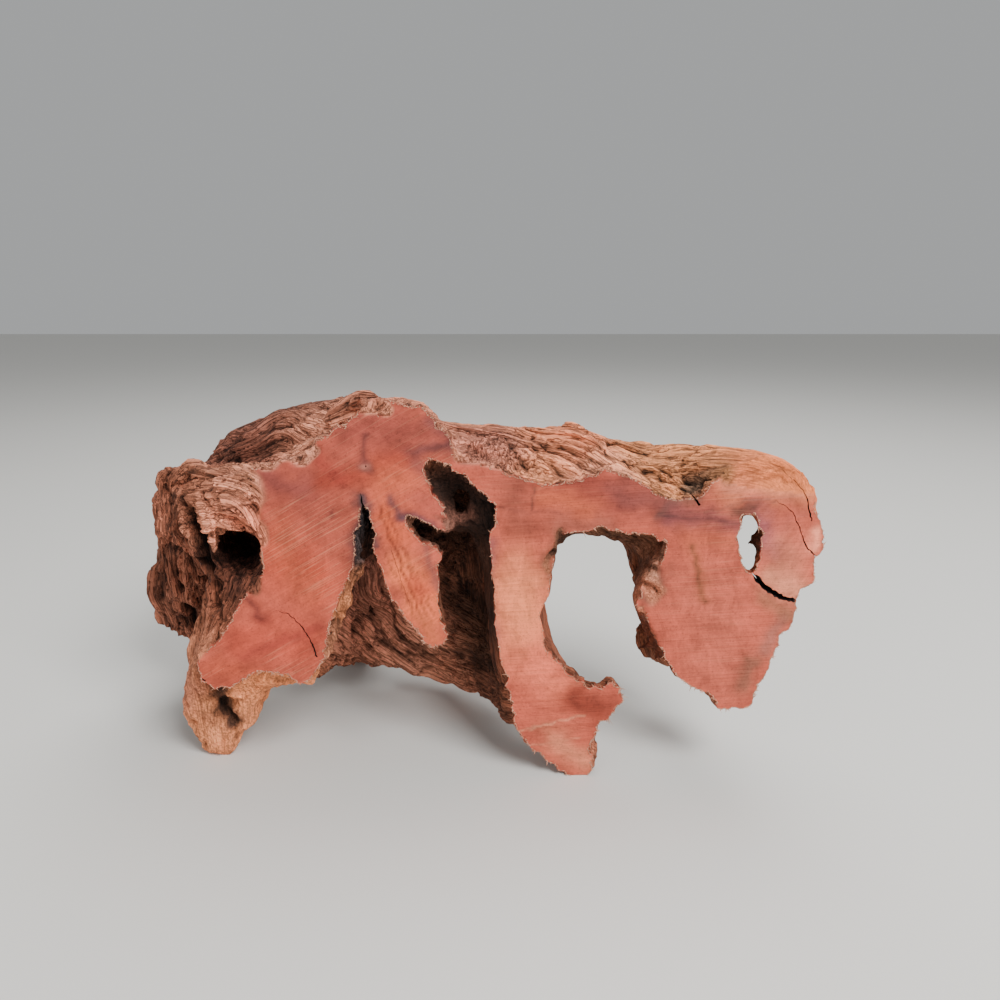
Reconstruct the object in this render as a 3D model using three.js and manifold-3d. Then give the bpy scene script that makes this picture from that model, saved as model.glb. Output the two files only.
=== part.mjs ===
// A piece of red root driftwood: a gnarled root crown, sawn flat on its front and weathered all round
// its back. It is one grown piece, so it is one mesh. Millimetres, +Z up, and it stands on three low
// points at Z = 0. While it is shaped, x runs along the sawn face, z is the height over the ground, and
// depth runs back from the saw cut, which lies at depth 0. The finished mesh is then centred over its
// own footprint.
import * as THREE from "three";
import { ImprovedNoise } from "three/addons/math/ImprovedNoise.js";
import Module from "manifold-3d";

// Driving dimensions
const GRID_STEP = 2;
const TRIANGLES_WANTED = 11400;
const SHAPING_LOW = new THREE.Vector3(-140, -6, -6);
const SHAPING_HIGH = new THREE.Vector3(102, 108, 126);
const CUT_OVERSIZE = 60;
const CUT_SPARE = 3.1; // the wood in front of the saw cut that the saw takes off
const EDGE_WALL = 3.5; // the least thickness at the rim of the sawn face
const RIM_ROUND = 8; // how far in from the rim the back of a thin branch takes to round over
const FACE_CARE = 30; // how much more exactly the mesh is kept beside the saw cut
const FACE_CARE_DEPTH = 5;
const LUMP_SIZE = 24;
const LUMP_HEIGHT = 2.6;
const RIDGE_WIDTH = 9;
const RIDGE_LENGTH = 54;
const RIDGE_HEIGHT = 2.7;
const RIDGE_CREST = 0.35; // how far the crests stand out of the skin, as a share of the ridge height
const SKIN_REACH = 12; // lumps and ridges matter this near a limb's skin
const CHIP_SIZE = 5; // small unevenness all over
const CHIP_LENGTH = 8;
const CHIP_HEIGHT = 0.5;

// How widely neighbouring forms flow into each other
const TRUNK_BLEND = 9;
const WALL_BLEND = 7;
const LEG_BLEND = 6;
const HOLLOW_BLEND = 5;
const FACE_BLEND = 4;
const CARVED_BLEND = 2.5;
const RIM_BLEND = 2;
// How the wood may swell past the sawn outline behind the saw cut: at once, and from a little further back
const SWELL_SLOPE = 0.35;
const SWELL_START = 2.5;
const SWELL_CURVE = 0.55;
const PLATE_SLOPE = 0.3;
// Where each group of limbs starts in the noise, and the step from limb to limb
const TRUNK_SEED = 3;
const WALL_SEED = 60;
const LEG_SEED = 120;
const HOLLOW_SEED = 200;
const CARVED_SEED = 260;
const LIMB_SEED_STEP = 7.3;
const WALL_SEED_STEP = 5.1;
const CHIP_SEED = 40;
// Limits that keep the mesh sound: crossings stay off the grid points, faces don't turn over or vanish
const LEAST_SHARE = 0.05;
const LEAST_TURN = 0.2;
const LEAST_FACE = 0.02;
const EVENNESS = 1e-3;
const FLAT_PLANES = 1e-4; // planes that meet this evenly don't fix a point
const NO_AREA = 1e-9;
const LONGEST_MOVE = 2; // how far a joined point may move, in lengths of its edge
const SAME_PLACE = 1e-3;
const THICKNESS_SOFTNESS = 9;

// The outline of the sawn face as [x, z], clockwise as seen from the front, in the stretches that a hand
// would trace
const SAWN_OUTLINE = [
  // crest, from the left shoulder over the peak to the right end of the arm
  [[-80, 94], [-74, 96], [-66, 99], [-56, 101], [-52, 105], [-44, 110], [-38, 115], [-36, 116.5]],
  [[-28, 117]],
  [[-22, 115], [-18, 112], [-14, 108], [-14, 105], [-11, 102], [-6, 100], [3, 96], [11, 94], [17, 94]],
  [[25, 96], [30, 98], [36, 96], [44, 91], [49, 89.5], [56, 90], [62, 96], [70, 99], [75, 101], [80, 99]],
  // the finger at the right end, down its outside to where it meets the lobe
  [[86, 95], [88, 93], [89, 90], [88.7, 87], [90, 84], [91.7, 80], [92.5, 76], [91.2, 72], [90.3, 70]],
  [[91.5, 67], [91.7, 64], [89, 63.2], [87.5, 62], [86, 59], [86.6, 57]],
  // the right lobe, down to its tip and up its ragged inner side
  [[86, 53], [85, 49], [82, 42], [81, 36], [78, 33], [78, 29], [76, 24.5], [73, 23], [68, 23], [65, 27]],
  [[59, 30], [53, 34], [50, 40], [46, 48], [42, 54], [40.5, 58], [41.5, 62], [44, 67], [47, 72], [49, 75]],
  // under the arm
  [[47, 77.5], [43, 78.5], [40, 79.5], [35, 79], [32, 80.5], [28, 81.5], [24, 80], [18, 80]],
  // the right leg: its inner side, the hook near its foot, the tip, and its outer side
  [[16, 78], [16, 72], [15, 67], [14, 60], [12, 56], [12, 51], [13, 46], [15, 42], [18, 38], [19.5, 35.5]],
  [[22, 35], [26, 31], [30, 30], [33, 32], [36, 29.5], [37, 26], [35.5, 22], [32.5, 18.5], [30, 19]],
  [[30, 14], [28, 11], [27, 8], [28.5, 4], [27.5, 0], [26, -3], [23, -2], [19, 2.5]],
  [[13, 7], [8, 11], [5, 17], [3, 29], [1.5, 36], [0, 42], [-1, 50], [-1.5, 60], [-2, 70], [-3, 79]],
  // round the top of the hollow
  [[-1.5, 84], [-2, 87.5], [-4, 91], [-9, 95], [-13, 98], [-17, 100], [-20.5, 100.5], [-22, 98]],
  // the tooth that hangs into the hollow, and the notch behind it
  [[-21, 95], [-19, 91], [-17, 88], [-17, 85.5], [-15, 84], [-13, 82], [-14, 80], [-17, 80.5]],
  [[-20, 81.5], [-24, 84], [-27.5, 86], [-26.5, 81], [-23, 77]],
  // the long middle finger
  [[-19, 75], [-17, 72.5], [-18, 69], [-18, 60], [-17, 53], [-16.5, 45], [-20, 43.5], [-23, 46], [-28, 55]],
  [[-31.5, 59], [-34, 66], [-36, 74], [-36, 82], [-37.5, 87], [-39, 91]],
  // the cleft, and the left leg round to the hollow in its outer side
  [[-40, 85], [-41.5, 78], [-42, 71], [-45, 64], [-48, 57], [-50, 51], [-53, 40], [-56, 36.5], [-57, 33]],
  [[-60, 32], [-63, 34], [-68, 36], [-74, 36], [-78, 34], [-82, 32], [-86, 31], [-89, 33], [-91, 37]],
  [[-90, 41], [-84, 46], [-80, 51], [-77, 57], [-73, 63], [-70, 67], [-69, 72], [-68.5, 80], [-72, 85]],
  [[-79, 87.5]],
].flat();

// The slot between the finger and the lobe at the right end, which goes right through
const SLOT_OUTLINE = [
  [[67.8, 85.7], [68, 83], [68.5, 80.5], [67.8, 78], [69, 73.5], [70.6, 69.4], [73.2, 66.4], [75.4, 64.4]],
  [[76, 65.4], [74.5, 68.2], [74.5, 71.3], [74.9, 74.5], [74.2, 78], [74.3, 82.4], [73, 84.8], [70.5, 86]],
].flat();

// How thick the wood is straight behind the sawn face, as [x, z, thickness], blended in between
const FACE_THICKNESS = [
  [-78, 91, 10],
  [-58, 90, 24],
  [-30, 106, 26],
  [-52, 66, 20],
  [-64, 48, 20],
  [-80, 38, 14],
  [-28, 94, 18],
  [-17, 83, 8],
  [-27, 70, 9],
  [-21, 52, 7],
  [-8, 98, 14],
  [10, 90, 26],
  [34, 88, 24],
  [56, 84, 20],
  [6, 66, 19],
  [8, 44, 19],
  [16, 18, 17],
  [24, 4, 9],
  [34, 27, 6],
  [48, 62, 24],
  [58, 46, 22],
  [66, 32, 14],
  [76, 52, 9],
  [66, 72, 10],
  [78, 92, 15],
  [86, 74, 9],
  [84, 64, 8],
];

// The grown limbs behind the saw cut, as stations [x, depth, z, radius] along each
const LIMBS = {
  trunk: [[-80, 24, 74, 19], [-58, 27, 75, 21], [-34, 33, 85, 22.5], [-8, 31, 84, 20]],
  back_root: [
    [-97, 62, 60, 16], [-87, 66, 83.5, 18], [-70, 68, 87.5, 19.5],
    [-48, 62, 88, 21], [-24, 48, 82, 19],
  ],
  arm: [
    [-22, 28, 87, 17], [4, 26, 87.5, 17], [22, 23, 88.5, 16.5],
    [30, 22, 87, 15], [48, 21, 85.5, 13.5], [72, 18, 87, 13],
  ],
  arm_end: [[66, 14, 88, 11], [81, 13, 87.5, 10.5], [85.5, 9, 76, 7]],
  shoulder: [[-104, 44, 75, 11.5], [-97, 33, 79, 12.5], [-87, 20, 80, 13], [-76, 12, 84, 11]],
  left_lobe: [[-102, 44, 73, 12], [-107, 49, 58, 12.5], [-111, 51, 44, 13.5], [-110, 52, 34, 12]],
  back_foot: [[-58, 52, 64, 20], [-57, 66, 40, 15], [-58, 76, 20, 11], [-58, 79, 6.6, 7]],
  back_stub: [[2, 38, 80, 14], [14, 56, 77, 11], [22, 70, 78, 8.5]],
  back_bulge: [[-88, 52, 58, 15], [-76, 60, 56, 17], [-40, 60, 62, 17], [-14, 52, 66, 15]],
  arm_front: [[2, 14, 90, 8.5], [26, 14, 91, 8.5], [46, 13, 87, 7]],
  crest_root: [[-32, 16, 100, 12], [-13, 18, 92, 11], [8, 20, 89, 10]],
};

// The back wall of the hollow, as upright flutes [x, depth, low z, high z, radius]
const HOLLOW_WALL = [
  [-64, 42, 24, 76, 10],
  [-50, 52, 23, 80, 10],
  [-36, 54, 20, 82, 10],
  [-22, 51, 18, 82, 10],
  [-11, 42, 16, 82, 9],
  [-3, 30, 17, 82, 8.5],
  [2, 19, 16, 82, 7],
];

// Limbs that stand in front of the hollow or outside the sawn outline, so the hollow doesn't cut them
const LEGS = {
  left_leg: [
    [-66, 20, 70, 14], [-80, 20, 50, 14], [-86, 15, 33, 13],
    [-90.5, 12, 18, 11], [-91, 11, 4.6, 5.2],
  ],
  left_heel: [[-84, 10, 30, 9], [-74, 9, 33, 7], [-64, 8, 34, 6]],
  right_leg: [[7, 14, 84, 11], [5, 13, 58, 8], [6.5, 13, 38, 8.5], [15, 12, 19, 9.5], [23, 7, 6.3, 6.6]],
  lobe_back: [
    [48, 26, 79, 12.5], [54, 29, 69, 13.5], [58, 29, 56, 13.5],
    [62, 27, 42, 13], [59, 31, 32, 10],
  ],
};

// What rot and water have eaten away, as stations [x, depth, z, radius] along each hollow
const HOLLOWS = {
  cave: [
    [-11, 13, 88, 5.5], [-18, 25, 79, 13], [-22, 24, 66, 18],
    [-26, 20, 46, 23], [-28, 14, 22, 26], [-28, 10, -4, 27],
  ],
  under_back: [[-22, 86, -12, 30], [-20, 100, 28, 26]],
  lobe_gap: [[-92, 84, 14, 20], [-96, 74, 22, 16]],
};
const CARVED_HOLLOWS = {
  eye: [[-75, -6, 70.5, 6], [-78, 10, 71.5, 7.5], [-84, 30, 74, 6]],
  ear_cleft: [[-99, 14, 82, 2.4], [-97, 16, 70, 4.4], [-96, 22, 60, 4], [-101, 30, 46, 3]],
  slot_through: [[71.5, 3, 80, 2.8], [74, 12, 79, 5], [84, 34, 76, 10]],
  slot_low: [[72.5, 3, 71, 2.4], [75, 12, 71, 4], [84, 34, 66, 9]],
  foot_pit: [[-85, 2, 24, 2.5], [-86, 7, 21, 3.4]],
  crown_pit: [[-78, 44, 106, 6], [-64, 42, 106, 7], [-52, 40, 112, 5]],
};

const grain = new ImprovedNoise();

function smoothMin(a, b, blend) {
  const mix = Math.max(blend - Math.abs(a - b), 0) / blend;
  return Math.min(a, b) - (mix * mix * blend) / 4;
}

const smoothMax = (a, b, blend) => -smoothMin(-a, -b, blend);

// A limb ready to be measured: its stations, how far along each lies, and two directions across it
function prepareLimb(stations, seed) {
  const points = stations.map(([x, depth, z]) => new THREE.Vector3(x, depth, z));
  const along = [0];
  for (let i = 1; i < points.length; i++) along.push(along[i - 1] + points[i].distanceTo(points[i - 1]));
  const run = points.at(-1).clone().sub(points[0]).normalize();
  const across = new THREE.Vector3(0.36, 0.8, 0.48).cross(run).normalize();
  const radii = stations.map((station) => station[3]);
  return { points, along, radii, across, over: run.clone().cross(across), seed };
}

const scratch = { run: new THREE.Vector3(), rel: new THREE.Vector3() };

// The distance from a point to a limb's skin. A ridged skin has lumps and ridges that run along the limb.
function limbDistance(limb, point, ridged) {
  let best = Infinity;
  let bestAcross = 0;
  let bestOver = 0;
  let bestAlong = 0;
  for (let i = 1; i < limb.points.length; i++) {
    const run = scratch.run.subVectors(limb.points[i], limb.points[i - 1]);
    const rel = scratch.rel.subVectors(point, limb.points[i - 1]);
    const length = run.length();
    const share = Math.min(1, Math.max(0, rel.dot(run) / (length * length)));
    rel.addScaledVector(run, -share);
    const distance = rel.length() - THREE.MathUtils.lerp(limb.radii[i - 1], limb.radii[i], share);
    if (distance < best) {
      best = distance;
      bestAcross = rel.dot(limb.across);
      bestOver = rel.dot(limb.over);
      bestAlong = limb.along[i - 1] + share * length;
    }
  }
  if (!ridged || best > SKIN_REACH) return best;
  const { seed } = limb;
  const lumps = grain.noise(bestAcross / LUMP_SIZE + seed, bestOver / LUMP_SIZE, bestAlong / LUMP_SIZE);
  const over = bestOver / RIDGE_WIDTH + seed;
  const ridges = grain.noise(bestAcross / RIDGE_WIDTH, over, bestAlong / RIDGE_LENGTH);
  return best + LUMP_HEIGHT * lumps + RIDGE_HEIGHT * (RIDGE_CREST - Math.abs(ridges) * 2);
}

const prepareAll = (limbs, firstSeed) =>
  Object.values(limbs).map((stations, i) => prepareLimb(stations, firstSeed + i * LIMB_SEED_STEP));

const trunkLimbs = prepareAll(LIMBS, TRUNK_SEED);
const wallLimbs = HOLLOW_WALL.map(([x, depth, low, high, radius], i) =>
  prepareLimb([[x, depth, high, radius], [x, depth, low, radius]], WALL_SEED + i * WALL_SEED_STEP),
);
const legLimbs = prepareAll(LEGS, LEG_SEED);
const hollowLimbs = prepareAll(HOLLOWS, HOLLOW_SEED);
const carvedLimbs = prepareAll(CARVED_HOLLOWS, CARVED_SEED);

// The signed distance from [x, z] to an outline, negative inside it
function outlineDistance(outline, x, z) {
  let nearest = Infinity;
  let inside = false;
  for (let i = 0, j = outline.length - 1; i < outline.length; j = i++) {
    const [ax, az] = outline[j];
    const [bx, bz] = outline[i];
    const share = ((x - ax) * (bx - ax) + (z - az) * (bz - az)) / ((bx - ax) ** 2 + (bz - az) ** 2);
    const held = Math.min(1, Math.max(0, share));
    nearest = Math.min(nearest, Math.hypot(x - ax - held * (bx - ax), z - az - held * (bz - az)));
    if (az > z !== bz > z && x < ((bx - ax) * (z - az)) / (bz - az) + ax) inside = !inside;
  }
  return inside ? -nearest : nearest;
}

// The thickness of the wood behind [x, z] on the sawn face, blended from the stated places
function faceThickness(x, z) {
  let sum = 0;
  let weights = 0;
  for (const [px, pz, thickness] of FACE_THICKNESS) {
    const weight = 1 / ((x - px) ** 2 + (z - pz) ** 2 + THICKNESS_SOFTNESS) ** 2;
    sum += weight * thickness;
    weights += weight;
  }
  return sum / weights;
}

// Both depend on x and z alone, so they are worked out once for each upright column of the grid
function faceColumn(x, z) {
  const outline = Math.max(outlineDistance(SAWN_OUTLINE, x, z), -outlineDistance(SLOT_OUTLINE, x, z));
  const inward = Math.min(1, Math.max(0, -outline / RIM_ROUND));
  const round = Math.sqrt(1 - (1 - inward) ** 2);
  return { outline, thickness: EDGE_WALL + (faceThickness(x, z) - EDGE_WALL) * round };
}

// The wood as one field: below zero inside it, above zero outside
function wood(point, column) {
  const { x, y: depth, z } = point;
  let deep = Infinity;
  for (const limb of trunkLimbs) deep = smoothMin(deep, limbDistance(limb, point, true), TRUNK_BLEND);
  for (const limb of wallLimbs) deep = smoothMin(deep, limbDistance(limb, point, true), WALL_BLEND);
  for (const limb of hollowLimbs) deep = smoothMax(deep, -limbDistance(limb, point, true), HOLLOW_BLEND);
  let legs = Infinity;
  for (const limb of legLimbs) legs = smoothMin(legs, limbDistance(limb, point, true), LEG_BLEND);
  let grown = smoothMin(deep, legs, WALL_BLEND);
  // beside the saw cut nothing grows past the sawn outline, but a few millimetres back it may
  const back = Math.max(depth, 0);
  const swell = SWELL_SLOPE * back + SWELL_CURVE * Math.max(depth - SWELL_START, 0) ** 2;
  grown = smoothMax(grown, column.outline - swell, RIM_BLEND);
  const plate = smoothMax(column.outline - PLATE_SLOPE * back, depth - column.thickness, CARVED_BLEND);
  let body = smoothMin(grown, plate, FACE_BLEND);
  for (const limb of carvedLimbs) body = smoothMax(body, -limbDistance(limb, point, false), CARVED_BLEND);
  const chips = grain.noise(x / CHIP_SIZE + CHIP_SEED, depth / CHIP_SIZE, z / CHIP_LENGTH) * CHIP_HEIGHT;
  return Math.max(body + chips, -depth - CUT_SPARE);
}

// Six tetrahedra fill each grid cell, all round the diagonal from its first corner to its last
const CELL_PATHS = [[1, 3], [1, 5], [2, 3], [2, 6], [4, 5], [4, 6]].map(([a, b]) => [0, a, b, 7]);

// The zero surface of the field as points and triangles that face out
function surfaceOf(low, high, step) {
  const count = high.clone().sub(low).divideScalar(step).ceil().addScalar(1);
  const strides = [1, count.x, count.x * count.y];
  const values = new Float32Array(count.x * count.y * count.z);
  const place = (ix, iy, iz) => new THREE.Vector3(low.x + ix * step, low.y + iy * step, low.z + iz * step);
  for (let iz = 0; iz < count.z; iz++)
    for (let ix = 0; ix < count.x; ix++) {
      const column = faceColumn(low.x + ix * step, low.z + iz * step);
      for (let iy = 0; iy < count.y; iy++)
        values[ix + iy * strides[1] + iz * strides[2]] = wood(place(ix, iy, iz), column);
    }
  const corner = (k) => (k & 1) * strides[0] + ((k >> 1) & 1) * strides[1] + ((k >> 2) & 1) * strides[2];
  const crossings = new Map();
  const points = [];
  const triangles = [];
  const spot = (index) => {
    const iz = Math.floor(index / strides[2]);
    const iy = Math.floor((index % strides[2]) / strides[1]);
    return place(index % strides[1], iy, iz);
  };
  const crossing = (inner, outer) => {
    const key = Math.min(inner, outer) * values.length + Math.max(inner, outer);
    if (!crossings.has(key)) {
      const raw = values[inner] / (values[inner] - values[outer]);
      const share = Math.min(1 - LEAST_SHARE, Math.max(LEAST_SHARE, raw));
      crossings.set(key, points.length);
      points.push(spot(inner).lerp(spot(outer), share));
    }
    return crossings.get(key);
  };
  const addTriangle = (a, b, c, inner, outer) => {
    const normal = new THREE.Vector3().subVectors(points[b], points[a]);
    normal.cross(new THREE.Vector3().subVectors(points[c], points[a]));
    const outward = spot(outer).sub(spot(inner));
    triangles.push(normal.dot(outward) > 0 ? [a, b, c] : [a, c, b]);
  };
  for (let iz = 0; iz < count.z - 1; iz++)
    for (let iy = 0; iy < count.y - 1; iy++)
      for (let ix = 0; ix < count.x - 1; ix++) {
        const first = ix + iy * strides[1] + iz * strides[2];
        for (const path of CELL_PATHS) {
          const corners = path.map((k) => first + corner(k));
          const inner = corners.filter((c) => values[c] < 0);
          const outer = corners.filter((c) => values[c] >= 0);
          if (inner.length === 1) {
            const [a, b, c] = outer.map((o) => crossing(inner[0], o));
            addTriangle(a, b, c, inner[0], outer[0]);
          } else if (inner.length === 3) {
            const [a, b, c] = inner.map((i) => crossing(i, outer[0]));
            addTriangle(a, b, c, inner[0], outer[0]);
          } else if (inner.length === 2) {
            const [a, b] = outer.map((o) => crossing(inner[0], o));
            const [c, d] = outer.map((o) => crossing(inner[1], o));
            addTriangle(a, b, c, inner[0], outer[0]);
            addTriangle(b, d, c, inner[0], outer[0]);
          }
        }
      }
  return { points, triangles };
}

// The largest connected piece of a surface: loose scraps and sealed bubbles are dropped
function largestPiece({ points, triangles }) {
  const parent = points.map((_, i) => i);
  const rootOf = (i) => {
    while (parent[i] !== i) {
      parent[i] = parent[parent[i]];
      i = parent[i];
    }
    return i;
  };
  for (const [a, b, c] of triangles) {
    parent[rootOf(a)] = rootOf(b);
    parent[rootOf(b)] = rootOf(c);
  }
  const sizes = new Map();
  for (const [a] of triangles) sizes.set(rootOf(a), (sizes.get(rootOf(a)) ?? 0) + 1);
  const [largest] = [...sizes].sort((p, q) => q[1] - p[1])[0];
  return { points, triangles: triangles.filter(([a]) => rootOf(a) === largest) };
}

// A binary heap of entries with a cost, cheapest first
class CheapestFirst {
  entries = [];
  push(entry) {
    const list = this.entries;
    let i = list.push(entry) - 1;
    while (i > 0) {
      const up = (i - 1) >> 1;
      if (list[up].cost <= entry.cost) break;
      list[i] = list[up];
      i = up;
    }
    list[i] = entry;
  }
  pop() {
    const list = this.entries;
    const top = list[0];
    const last = list.pop();
    if (!list.length) return top;
    let i = 0;
    for (;;) {
      let down = 2 * i + 1;
      if (down >= list.length) break;
      if (down + 1 < list.length && list[down + 1].cost < list[down].cost) down++;
      if (list[down].cost >= last.cost) break;
      list[i] = list[down];
      i = down;
    }
    list[i] = last;
    return top;
  }
}

// The sum of squared distances to planes, as the ten numbers of a symmetric 4 by 4 matrix
function addPlane(quadric, n, offset, weight) {
  const v = [n.x, n.y, n.z, offset];
  let k = 0;
  for (let i = 0; i < 4; i++) for (let j = i; j < 4; j++) quadric[k++] += weight * v[i] * v[j];
}

function quadricCost(q, { x, y, z }) {
  const squares = q[0] * x * x + q[4] * y * y + q[7] * z * z + q[9];
  return squares + 2 * (q[1] * x * y + q[2] * x * z + q[5] * y * z + q[3] * x + q[6] * y + q[8] * z);
}

// The point where a quadric costs least, or null where its planes don't fix one
function quadricLowest(q) {
  const m = new THREE.Matrix3(q[0], q[1], q[2], q[1], q[4], q[5], q[2], q[5], q[7]);
  const size = q[0] + q[4] + q[7];
  if (Math.abs(m.determinant()) < FLAT_PLANES * size ** 3) return null;
  return new THREE.Vector3(-q[3], -q[6], -q[8]).applyMatrix3(m.invert());
}

// Joins the ends of the cheapest edges, one edge at a time, until few enough triangles are left
function simplify({ points, triangles }, wanted, careAt) {
  const facesOf = points.map(() => new Set());
  triangles.forEach((t, i) => t.forEach((v) => facesOf[v].add(i)));
  const quadrics = points.map(() => new Float64Array(10));
  const stamps = new Int32Array(points.length);
  const normalOf = (a, b, c) => b.clone().sub(a).cross(c.clone().sub(a));
  for (const t of triangles) {
    const corners = t.map((v) => points[v]);
    const normal = normalOf(...corners);
    const area = normal.length() / 2;
    if (area < NO_AREA) continue;
    normal.divideScalar(2 * area);
    const weight = area * careAt(corners[0]);
    for (const v of t) addPlane(quadrics[v], normal, -normal.dot(corners[0]), weight);
  }
  const neighboursOf = (v) => {
    const found = new Set();
    for (const f of facesOf[v]) for (const w of triangles[f]) if (w !== v) found.add(w);
    return found;
  };
  const heap = new CheapestFirst();
  const offer = (a, b) => {
    const q = quadrics[a].map((value, i) => value + quadrics[b][i]);
    const middle = points[a].clone().lerp(points[b], 0.5);
    const lowest = quadricLowest(q);
    const near = lowest && lowest.distanceTo(middle) < LONGEST_MOVE * points[a].distanceTo(points[b]);
    const target = near ? lowest : middle;
    const evenness = EVENNESS * points[a].distanceToSquared(points[b]);
    heap.push({ cost: quadricCost(q, target) + evenness, a, b, target, stamp: stamps[a] + stamps[b] });
  };
  triangles.forEach((t) => t.forEach((v, i) => v < t[(i + 1) % 3] && offer(v, t[(i + 1) % 3])));
  const turnsOver = (v, other, target) => {
    for (const f of facesOf[v]) {
      const t = triangles[f];
      if (t.includes(other)) continue;
      const before = normalOf(...t.map((w) => points[w]));
      const after = normalOf(...t.map((w) => (w === v ? target : points[w])));
      const turned = before.dot(after) < LEAST_TURN * before.length() * after.length();
      if (turned || after.length() < LEAST_FACE) return true;
    }
    return false;
  };
  let left = triangles.length;
  while (left > wanted && heap.entries.length) {
    const { a, b, target, stamp } = heap.pop();
    if (!facesOf[a] || !facesOf[b] || stamp !== stamps[a] + stamps[b]) continue;
    const around = neighboursOf(a);
    const shared = [...neighboursOf(b)].filter((v) => around.has(v));
    if (shared.length !== 2 || !around.has(b)) continue;
    if (turnsOver(a, b, target) || turnsOver(b, a, target)) continue;
    for (const f of facesOf[b]) {
      if (triangles[f].includes(a)) {
        for (const v of triangles[f]) facesOf[v].delete(f);
        triangles[f] = null;
        left--;
      } else {
        triangles[f] = triangles[f].map((v) => (v === b ? a : v));
        facesOf[a].add(f);
      }
    }
    facesOf[b] = null;
    points[a] = target;
    for (let i = 0; i < 10; i++) quadrics[a][i] += quadrics[b][i];
    stamps[a] += points.length;
    for (const v of neighboursOf(a)) offer(a, v);
  }
  return { points, triangles: triangles.filter(Boolean) };
}

const wasm = await Module();
wasm.setup();

// A manifold-3d solid from points and triangles, with the points that no triangle uses left out
function solidFrom({ points, triangles }) {
  const renumbered = new Map();
  for (const t of triangles) for (const v of t) if (!renumbered.has(v)) renumbered.set(v, renumbered.size);
  const vertProperties = new Float32Array(renumbered.size * 3);
  for (const [v, i] of renumbered) points[v].toArray(vertProperties, i * 3);
  const triVerts = new Uint32Array(triangles.flatMap((t) => t.map((v) => renumbered.get(v))));
  return new wasm.Manifold(new wasm.Mesh({ numProp: 3, vertProperties, triVerts }));
}

// A solid box between two corners, for the saw cut and for the ground under the feet
function boxBetween(low, high) {
  const size = high.clone().sub(low);
  const middle = low.clone().add(high).divideScalar(2);
  const geometry = new THREE.BoxGeometry(size.x, size.y, size.z).translate(...middle);
  const corners = [0, 1, 2, 3, 4, 5, 6, 7].map((k) => new THREE.Vector3(k & 1, (k >> 1) & 1, k >> 2));
  const points = corners.map((c) => c.multiply(size).add(low));
  const position = geometry.getAttribute("position");
  const cornerAt = (i) => {
    const place = new THREE.Vector3().fromBufferAttribute(position, i);
    return points.findIndex((point) => point.distanceTo(place) < SAME_PLACE);
  };
  const index = [...geometry.index.array].map(cornerAt);
  const triangles = [];
  for (let i = 0; i < index.length; i += 3) triangles.push(index.slice(i, i + 3));
  return solidFrom({ points, triangles });
}

// A three.js geometry from a manifold-3d solid
function geometryFrom(solid) {
  const mesh = solid.getMesh();
  const geometry = new THREE.BufferGeometry();
  geometry.setAttribute("position", new THREE.BufferAttribute(mesh.vertProperties, 3));
  geometry.setIndex(new THREE.BufferAttribute(mesh.triVerts, 1));
  geometry.computeVertexNormals();
  return geometry;
}

function driftwood() {
  const careAt = ({ y: depth }) => (depth < FACE_CARE_DEPTH ? FACE_CARE : 1);
  const rough = largestPiece(surfaceOf(SHAPING_LOW, SHAPING_HIGH, GRID_STEP));
  const grown = solidFrom(simplify(rough, TRIANGLES_WANTED, careAt));
  const beyond = new THREE.Vector3().setScalar(CUT_OVERSIZE);
  const low = SHAPING_LOW.clone().sub(beyond);
  const high = SHAPING_HIGH.clone().add(beyond);
  const sawn = grown.subtract(boxBetween(low, new THREE.Vector3(high.x, 0, high.z)));
  const standing = sawn.subtract(boxBetween(low, new THREE.Vector3(high.x, high.y, 0)));
  const pieces = standing.decompose().sort((a, b) => b.volume() - a.volume());
  const material = new THREE.MeshStandardMaterial({ color: 0xb8705a, roughness: 0.85, metalness: 0 });
  const mesh = new THREE.Mesh(geometryFrom(pieces[0]), material);
  mesh.name = "driftwood";
  mesh.geometry.computeBoundingBox();
  const { min, max } = mesh.geometry.boundingBox;
  mesh.position.set(-(min.x + max.x) / 2, -(min.y + max.y) / 2, -min.z);
  return mesh;
}

const part = new THREE.Group();
part.add(driftwood());

export default part;
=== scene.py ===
"""Aquarium driftwood: one piece of red root wood, sawn flat on its front and weathered behind.

Lengths in the tables are millimetres in the maker's own frame: x runs along the sawn face, d is the depth
behind the saw cut and z the height above the ground. The scene itself is in metres.
"""
import math
from itertools import product

import bmesh
import bpy
import numpy as np
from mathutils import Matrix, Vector


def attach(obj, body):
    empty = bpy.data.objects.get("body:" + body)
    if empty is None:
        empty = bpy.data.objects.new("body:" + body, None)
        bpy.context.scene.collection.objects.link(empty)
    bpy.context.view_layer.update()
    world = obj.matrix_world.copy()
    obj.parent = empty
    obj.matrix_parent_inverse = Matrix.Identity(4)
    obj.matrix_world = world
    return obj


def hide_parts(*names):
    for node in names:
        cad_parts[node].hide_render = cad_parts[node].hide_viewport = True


bl_info = {
    "name": "Aquarium driftwood",
    "version": (1, 0, 0),
    "blender": (4, 5, 0),
    "location": "View3D > Sidebar > Driftwood",
    "description": "Builds a sawn and weathered piece of root wood round its solid",
    "category": "Object",
}

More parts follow.
